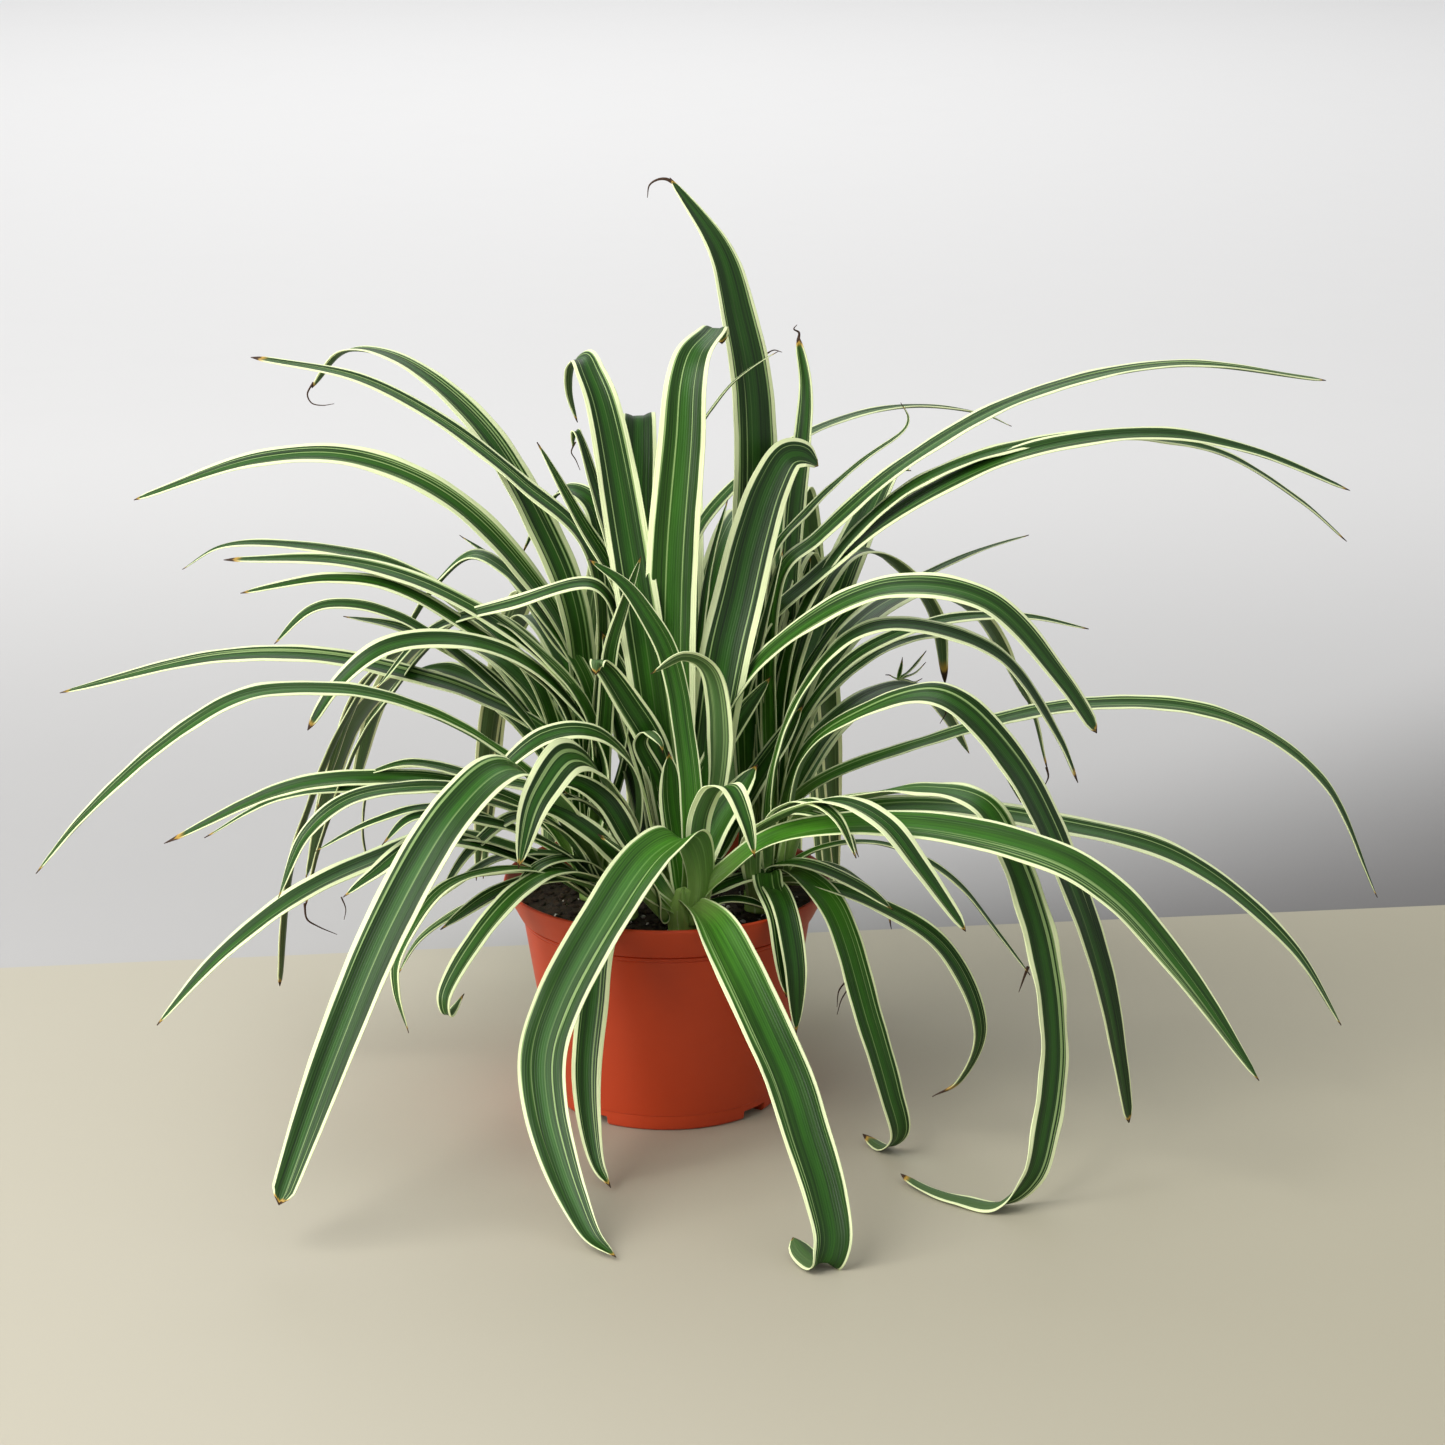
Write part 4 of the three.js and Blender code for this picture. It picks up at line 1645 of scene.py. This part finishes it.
CROWNS = [
    Crown("crown_front", 8, -48, [
        leaf(-22, 21, [
          [9, 19], [22, 33], [46, 52], [106, 65], [177, 58], [207, 43], [237, 13], [275, -35],
        ], turn=22, tone=0.2, rim=0.07),
        leaf(256, 23, [
          [1, 28, 4], [12, 51, 2], [28, 48, -8], [58, 21, -25], [84, -9, -38], [99, -28, -41],
          [113, -47, -36], [126, -64, -27], [138, -80, -16], [149, -91, -5], [159, -95, 8],
        ], tone=0.12, dry=1.2, rim=0.065),
        leaf(252, 15, [
          [20, 27, -14], [39, 10, -24], [50, -22, -28], [59, -50, -28], [67, -72, -24],
          [76, -89, -17], [85, -95, -8],
        ], dry=1.8, rim=0.14),
        leaf(286, 23, [
          [10, 17, -4], [33, 17, 1], [59, 6, 6], [94, -16, 11], [122, -31, 13], [143, -48, 14],
          [162, -68, 16], [176, -85, 15], [178, -93, 11], [168, -94, 7], [152, -91, 5],
        ], tip=0.35, tone=0.05, rim=0.07, dry=0.3),
        leaf(112, 11, [
          [3, 39, -4], [10, 65, -7], [20, 92, -8], [25, 110, -7], [29, 129, -3], [32, 145, 5],
          [36, 160, 15], [42, 172, 30],
        ], tone=0.4, rim=0.06),
        leaf(190, 13, [[10, 8, 2], [15, 25, 4], [26, 39, 4], [41, 52, 5]], tip=STUBBY),
        leaf(280, 11, [
          [4, 52, 1], [9, 66, 6], [15, 74, 12], [23, 76, 18], [30, 64, 23], [33, 45, 27],
        ], rim=0.2, dry=2.0),
    ], [
        leaf(175, 13, [
          [14, 25, -1], [24, 41, -2], [37, 63, -1], [52, 73, 3], [64, 70, 6],
        ], turn=-40, rim=0.12),
        leaf(185, 12, [
          [16, 20, 3], [29, 36, 2], [44, 52, 4], [61, 64, 7], [76, 66, 9],
        ], turn=-40, rim=0.15),
        leaf(60, 17, [
          [5, 24, -1], [13, 37, -3], [24, 49, -5], [35, 60, -9], [47, 71, -13],
        ], tone=0.5, rim=0.12),
        leaf(20, 13, [[8, 15, 1], [20, 19, 3], [35, 21, 6], [50, 21, 9], [63, 16, 12]]),
        leaf(5, 11, [[10, 13, -1], [20, 15, 0], [32, 13, 1], [41, 8, 2]]),
        leaf(120, 15, [[4, 24, -2], [10, 39, -3], [18, 59, -4], [26, 80, -7]], tone=0.35, rim=0.1),
    ]),
    Crown("crown_centre", 8, -5, [
        leaf(140, 20, [
          [9, 100, 12], [24, 175, 11], [42, 235, 7], [54, 249, 2], [64, 254, -4], [75, 248, -9],
          [80, 234, -13], [78, 219, -16],
        ], turn=-48, curl=-8, rim=0.12, tone=0.1),
        leaf(150, 14, [[22, 127], [36, 168], [48, 199], [57, 222], [64, 212, -8]]),
        leaf(160, 14, [[16, 103], [32, 150], [52, 184], [72, 218]], turn=-10),
        leaf(80, 24, [
          [0, 80, 2], [2, 167, 3], [5, 224, 1], [10, 249], [20, 261, -2], [36, 267, -7],
          [50, 267, -8], [58, 258, -9],
        ], tip=0.3, tone=0.08, rim=0.11),
        leaf(100, 14, [
          [-5, 43, 8], [-7, 81, 16], [-9, 102, 27], [-13, 121, 39], [-16, 125, 43], [-17, 119, 44],
        ], tip=0.4, rim=0.1, dry=1.5),
        leaf(100, 9, [
          [-5, 41, 9], [-7, 66, 16], [-9, 83, 22], [-13, 89, 19], [-18, 85, 14], [-19, 80, 13],
        ]),
        leaf(-14, 20, [
          [25, 103], [55, 137], [98, 160], [143, 156], [179, 120], [195, 97],
        ], tip=STUBBY, turn=20, rim=0.11),
        leaf(30, 24, [
          [10, 78, -4], [18, 122, -6], [28, 145, -3], [40, 173, 3], [52, 196, 7], [62, 208, 8],
          [70, 208, 7], [77, 202, 5],
        ], tip=0.5, turn=52, rim=0.12, tone=-0.05, dry=0.2),
        leaf(85, 11, [[-1, 51, -8], [1, 75, -17], [3, 95, -29], [5, 111, -41]], tone=0.3, rim=0.09),
        leaf(180, 15, [
          [-14, 54, 8], [-16, 101, 12], [-11, 121, 20], [0, 129, 30], [15, 124, 40],
        ], turn=50),
    ], [
        leaf(25, 8, [[19, 68], [32, 96], [43, 134], [52, 167]]),
        leaf(150, 16, [[13, 59], [18, 97], [29, 135], [38, 151]]),
        leaf(30, 19, [
          [13, 26, -7], [24, 42, -8], [36, 60, -9], [49, 77, -11], [59, 92, -12],
        ], rim=0.08),
        leaf(130, 18, [[5, 31, 5], [13, 54, 6], [22, 79, 8], [33, 105, 11], [43, 127, 14]], rim=0.09),
        leaf(95, 17, [[5, 37, -1], [13, 67, 0], [19, 99, 3], [26, 132, 7]], tone=0.3, rim=0.1),
        leaf(60, 17, [[7, 32, -6], [15, 58, -7], [23, 86, -9], [31, 113, -12]], rim=0.08),
        leaf(140, 20, [[13, 23, -1], [19, 46, -2], [25, 70, -4], [31, 96, -5]], rim=0.07),
        leaf(150, 17, [[19, 22, -2], [28, 48, -5], [38, 75, -7], [47, 101, -9]], rim=0.08),
    ]),
    Crown("crown_left", -34, 0, [
        leaf(180, 16, [
          [2, 89], [29, 124], [76, 154], [117, 166], [171, 167],
        ], tip=0.2, turn=-12, dry=3.5),
        leaf(192, 12, [
          [26, 81], [58, 119], [91, 144], [116, 152], [132, 150], [149, 135],
        ], tip=0.2, turn=-16),
        leaf(186, 13, [[25, 80], [58, 118], [88, 136], [116, 143]], turn=-18),
        leaf(176, 13, [
          [16, 76], [54, 100], [91, 111], [129, 118], [176, 117], [253, 98],
        ], tip=0.15, turn=-20, dry=2.0),
        leaf(182, 11, [[26, 42], [63, 58], [101, 62], [143, 58], [203, 31]], turn=-26, dry=5.0),
        leaf(174, 6, [[26, 36], [64, 50], [107, 52], [151, 46], [188, 25]], turn=-20, dry=3.0),
        leaf(202, 16, [
          [-3, 69], [12, 98], [36, 122], [68, 135], [102, 135], [124, 121], [140, 100],
        ], tip=0.25, turn=-20, dry=2.0),
        leaf(186, 7, [[26, 28], [73, 48], [106, 42], [132, 29]], turn=-14),
        leaf(180, 9, [[16, 50], [54, 61], [87, 68], [110, 62]], turn=-16),
        leaf(184, 12, [[16, 99], [57, 134], [94, 156], [122, 160], [163, 154]], tip=0.2, turn=-18),
        leaf(182, 12, [
          [-16, 80], [-14, 128], [-1, 154], [37, 146], [76, 133], [102, 105],
        ], turn=-16, tone=0.1),
        leaf(176, 17, [
          [1, 88, -2], [23, 119, -3], [44, 135, -5], [62, 136, -6], [80, 120, -6],
          [98, 96, -7], [112, 75, -8], [124, 46, -9], [134, 18, -10], [141, -11, -10],
        ], tip=0.2, dry=3.0),
        leaf(100, 8, [
          [-2, 70, -1], [-9, 99, -3], [-14, 127, -6], [-17, 149, -12], [-18, 172, -20],
        ], rim=0.12, tone=0.1),
    ]),
    Crown("crown_front_left", -22, -30, [
        leaf(196, 17, [
          [28, 57], [61, 91], [103, 115], [140, 124], [176, 123], [213, 103], [250, 72], [271, 49],
        ], turn=-6),
        leaf(208, 15, [[31, 49], [76, 75], [111, 81], [138, 79], [158, 66], [172, 39]], turn=-6),
        leaf(205, 9, [[25, 33], [60, 38], [83, 29], [95, 22]]),
        leaf(198, 8, [[29, 28], [48, 25], [73, 15], [97, 1], [108, -15]]),
        leaf(206, 17, [[41, 36], [86, 54], [120, 49], [159, 37], [198, 14], [229, -14]], turn=-6),
        leaf(214, 14, [[44, 34], [102, 58], [134, 47], [148, 40]], turn=-16),
        leaf(208, 10, [[31, 49], [54, 60], [77, 46], [94, 25]], turn=-6),
        leaf(196, 8, [[14, 20], [32, 26], [50, 29], [69, 28]]),
        leaf(216, 12, [[12, 20], [36, 28], [67, 28], [100, 16]], turn=-8),
        leaf(212, 10, [[32, 40], [74, 62], [110, 69], [125, 59]], turn=-16),
        leaf(228, 22, [
          [40, 68], [72, 91], [108, 80], [150, 39], [185, -12], [219, -75, -2],
        ], tip=STUBBY, turn=-22, dry=1.2, rim=0.09),
        leaf(218, 9, [[32, 28], [69, 40], [102, 36], [126, 9], [127, -6], [121, -28]]),
        leaf(206, 14, [
          [-10, 42], [-8, 72], [12, 93], [37, 95], [60, 81], [69, 70],
        ], turn=-22, dry=2.0, rim=0.13),
        leaf(240, 20, [
          [-4, 46], [20, 80], [46, 92], [66, 84], [77, 75], [89, 51],
        ], turn=-40, tone=0.1, dry=1.8, rim=0.15),
        leaf(200, 10, [[0, 42], [14, 58], [29, 67]]),
        leaf(206, 12, [[-2, 34], [10, 54], [26, 64], [42, 60]]),
        leaf(222, 11, [[10, 22], [26, 36], [47, 38], [66, 28]]),
        leaf(230, 13, [[42, 35], [70, 33], [100, 17], [121, -4], [119, -13], [108, -6]]),
    ]),
    Crown("crown_right", 44, -18, [
        leaf(-8, 15, [
          [5, 60], [15, 99], [40, 134], [65, 142], [110, 129], [138, 91], [148, 69],
        ], tip=0.2, turn=12, dry=3.5),
        leaf(-22, 22, [
          [20, 77], [44, 99], [87, 115], [122, 88], [152, 34, -1], [170, -14, -3], [179, -52, -5],
          [183, -80, -2],
        ], tip=0.3, turn=14, dry=1.8, rim=0.075),
        leaf(-50, 15, [
          [18, 45, -13], [43, 64, -14], [73, 75, -16], [102, 71, -15], [122, 52, -10], [140, 27, -1],
        ], tip=0.3, rim=0.2, dry=0.8),
        leaf(312, 19, [
          [20, 51, 7], [47, 63, 19], [76, 71, 31], [106, 69, 39], [122, 46, 43], [141, 8, 43],
          [158, -34, 34], [168, -63, 19], [173, -84, 4], [168, -94, -11], [150, -95, -18],
          [130, -95, -20], [113, -94, -18],
        ], tip=0.2, dry=3.0, wave=0.9, rim=0.12),
        leaf(290, 14, [[10, 22], [28, 21, -6], [44, 12, -7], [52, -8, -8], [54, -24, -8]], rim=0.09),
        leaf(288, 12, [[19, 20], [42, 17, -2], [57, -8, -3], [62, -39, -4]], rim=0.08),
        leaf(312, 17, [
          [14, 22], [45, 14], [77, -34, -3], [90, -66, -2], [93, -86, 1], [84, -95, 1], [67, -94, 3],
        ], tip=0.2, dry=3.0, rim=0.07),
        leaf(334, 12, [
          [15, 18], [56, 14], [94, -5], [112, -42], [102, -69], [89, -79],
        ], turn=14, dry=6.0, rim=0.1),
        leaf(-52, 9, [
          [21, 52, -12], [38, 65, -13], [59, 71, -16], [79, 68, -19], [90, 53, -18],
        ], rim=0.2, dry=0.8),
        leaf(-16, 6, [[29, 33], [58, 38], [91, 25], [117, -4], [130, -20]]),
    ], [
        leaf(-30, 8, [[1, 41], [21, 52], [45, 47], [52, 35]]),
        leaf(-34, 12, [[5, 22], [17, 27], [33, 27], [55, 22], [73, 14]]),
        leaf(10, 9, [
          [11, 14, 2], [20, 18, 5], [30, 19, 7], [41, 15, 8], [51, 8, 9], [59, 0, 10], [64, -8, 10],
          [66, -17, 10],
        ], dry=3.0, rim=0.1),
        leaf(215, 12, [[11, 23, -1], [22, 28, -1], [32, 27, 0]], rim=0.1),
    ]),
    Crown("crown_back", 8, 38, [
        leaf(100, 19, [
          [3, 116, 14], [8, 179, 20], [17, 207, 18], [34, 220, 15], [46, 206, 13],
        ], tip=0.75, rim=0.12),
        leaf(150, 16, [
          [19, 97, 8], [32, 145, 9], [45, 181, 8], [59, 186, 9], [69, 175, 12], [80, 152, 16],
        ], turn=-44, curl=0, rim=0.1, dry=3.0),
        leaf(160, 8, [[30, 76, 7], [59, 109, 9], [90, 149, 9], [110, 162, 10]], turn=-12),
        leaf(30, 10, [[5, 156], [28, 187], [74, 211], [124, 217], [171, 208], [188, 200]]),
        arch(90, 20, 236, 176, -78),
        arch(98, 16, 190, 104, -50),
        arch(82, 18, 216, 128, -80),
        arch(105, 17, 214, 150, -72),
        arch(74, 17, 232, 152, -76),
        arch(91, 14, 236, 70, -70),
        arch(112, 13, 118, 176, -40),
    ], [
        leaf(0, 6, [
          [-2, 157, 0], [4, 200, 0], [9, 222, -2], [16, 233, -3], [23, 242, -4], [31, 249, -5],
          [38, 254, -5], [45, 258, -5],
        ]),
        leaf(20, 10, [[9, 116], [15, 155], [23, 184]]),
        leaf(30, 8, [[15, 105], [24, 139], [33, 187]]),
    ]),
    Crown("crown_back_left", -34, 26, [
        leaf(150, 19, [
          [10, 130], [30, 175], [62, 218], [107, 245], [138, 246], [158, 226],
        ], tip=0.15, turn=-18, curl=8, dry=2.0),
        leaf(166, 13, [
          [0, 163], [35, 196], [74, 223], [113, 241], [167, 249],
        ], tip=0.3, turn=-12, dry=2.5),
        leaf(174, 17, [
          [8, 106], [35, 155], [72, 191], [115, 207], [158, 205], [219, 184],
        ], tip=0.15, turn=-24),
        leaf(160, 9, [[28, 98], [63, 130], [104, 149], [162, 154], [194, 150], [215, 137]], turn=-20),
        leaf(170, 8, [[32, 34], [80, 55], [108, 48], [115, 23], [112, -2]], turn=-10, dry=4.0),
        arch(132, 18, 232, 82, -56),
        arch(108, 15, 205, 118, -64),
        arch(120, 14, 126, 118, -36),
        arch(98, 17, 212, 106, -78),
        arch(126, 16, 226, 98, -20),
        arch(144, 13, 176, 108, 4),
        leaf(172, 18, [
          [2, 96, 0], [23, 131, 0], [42, 153, 1], [58, 160, 0], [75, 146, -1],
          [94, 117, -1], [119, 81, 0], [137, 41, 0], [150, 0, 1], [157, -60, 2],
        ], tip=STUBBY, tone=0.1, dry=2.0),
    ]),
    Crown("crown_back_right", 44, 28, [
        leaf(120, 24, [
          [6, 110], [10, 166, -3], [17, 208, -8], [24, 240, -10], [34, 269, -9], [50, 297, -9],
          [86, 328, -2],
        ], rim=0.09, tone=-0.15),
        leaf(35, 17, [
          [22, 114, 4], [30, 172, 10], [35, 208, 12], [39, 236, 15], [34, 260, 15],
        ], tip=0.3, dry=2.5),
        leaf(14, 16, [
          [10, 153], [28, 168], [70, 200], [128, 229], [204, 242], [284, 230],
        ], tip=0.25, turn=4),
        leaf(4, 18, [
          [1, 120], [27, 149], [68, 182], [124, 208], [188, 216], [234, 207], [282, 187],
        ], tip=0.2, turn=10, dry=2.5),
        leaf(8, 11, [
          [20, 130], [67, 188], [139, 212], [217, 205], [263, 178], [287, 157],
        ], tip=0.2, turn=12, dry=2.5),
        leaf(-6, 13, [[20, 43], [89, 75], [155, 92], [221, 88], [267, 58], [296, 0]], turn=14),
        leaf(-10, 20, [[20, 26], [69, 40], [146, 35], [203, 21], [255, -19], [281, -58]], turn=10),
        leaf(40, 18, [
          [10, 90], [38, 142], [60, 153], [82, 147], [115, 113], [123, 75],
        ], tip=0.2, dry=4.5),
        leaf(55, 22, [[15, 60], [59, 118], [89, 155], [119, 179], [136, 176]]),
        leaf(24, 6, [[20, 90], [52, 130], [85, 141], [113, 150], [145, 156]], turn=10),
        leaf(10, 10, [[15, 70], [44, 108], [85, 124], [128, 125], [162, 117]], turn=14),
        leaf(20, 8, [[20, 70], [73, 110], [115, 108], [140, 79], [153, 38]], tip=0.2, dry=5.0),
        arch(40, 16, 178, 80, 2),
        arch(52, 17, 236, 116, 34),
        arch(76, 17, 150, 176, -58),
        arch(60, 15, 232, 62, 2),
        arch(66, 14, 104, 150, -40),
        arch(72, 15, 130, 150, -64),
    ], [
        leaf(35, 6, [[7, 158], [28, 178], [60, 198], [87, 211], [89, 216], [84, 224]]),
        leaf(60, 8, [[27, 88], [38, 121], [53, 150]]),
        leaf(60, 10, [[11, 117], [31, 147], [47, 178]]),
    ]),
]

DEBRIS = Debris(
    wisps=[
        Wisp([(4, 103, 423), (1, 103.5, 424.4), (-3, 104.5, 424), (-7, 106, 421), (-8, 106, 415)], 0.9),
        Wisp([(63, 62, 354), (63.5, 62, 358), (61, 61, 360), (62.5, 61, 362)], 0.8),
        Wisp([(-42, 33, 312), (-44, 34, 307), (-42, 35, 303), (-40, 35, 298)], 0.4),
        Wisp([
          (-170, 104, 326), (-173, 104, 320), (-171, 103, 316), (-166, 102, 315), (-160, 101, 316),
        ], 0.5),
        Wisp([(-174, 19, 89), (-173, 19, 81), (-168, 20, 77), (-159, 22, 72)], 0.6),
        Wisp([(-158, 40, 85), (-156, 40, 79), (-157, 41, 73)], 0.4),
        Wisp([(139, 107, 170), (137, 107, 164), (139, 107, 158), (136, 106, 152)], 0.7),
        Wisp([(187, 80, 137), (188, 80, 132), (186, 80, 127)], 0.7),
        Wisp([(-66, -6, 97), (-72, -9, 97), (-78, -12, 95), (-80, -12, 98)], 1.3),
        Wisp([(85, -31, 67), (81, -32, 62), (80, -33, 54)], 0.5),
        Wisp([(86, -32, 64), (82, -34, 58), (80, -35, 51)], 0.4),
        Wisp([(168, -53, 81), (166, -53, 75), (164, -52, 68)], 0.8),
        Wisp([(47, 80, 343), (52, 80, 346), (56, 80, 345)], 0.5),
    ],
    tuft_place=(112.0, 60.0, 188.0),
    tuft=[
        leaf(20, 2.4, [[4, 2], [9, 6], [15, 13]], dry=1.0),
        leaf(10, 2.0, [[4, 1], [9, 3], [14, 8]], dry=1.0),
        leaf(60, 2.0, [[2, 2], [4, 6], [5, 10]], dry=1.0),
        leaf(-10, 2.0, [[4, 0], [8, -1], [12, 1]], dry=1.0),
        leaf(170, 1.8, [[2, 1], [4, 2], [6, 2]], dry=1.0),
    ],
)


def main() -> None:
    """Builds the plant, its pot and the studio."""
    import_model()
    cad_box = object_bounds()
    Shell.walls = np.array(cad_box)
    studio = Studio()
    studio.aim_camera()
    pot = Pot()
    pot.build(PotFinish().make())
    Soil(pot).build(SoilFinish().make(), PerliteFinish().make())
    skin = LeafFinish().make()
    for crown in CROWNS:
        crown.build(skin)
    DEBRIS.build(skin)
    studio.build()


if __name__ == "__main__":
    logging.basicConfig(level=logging.INFO, format="%(message)s")
    main()
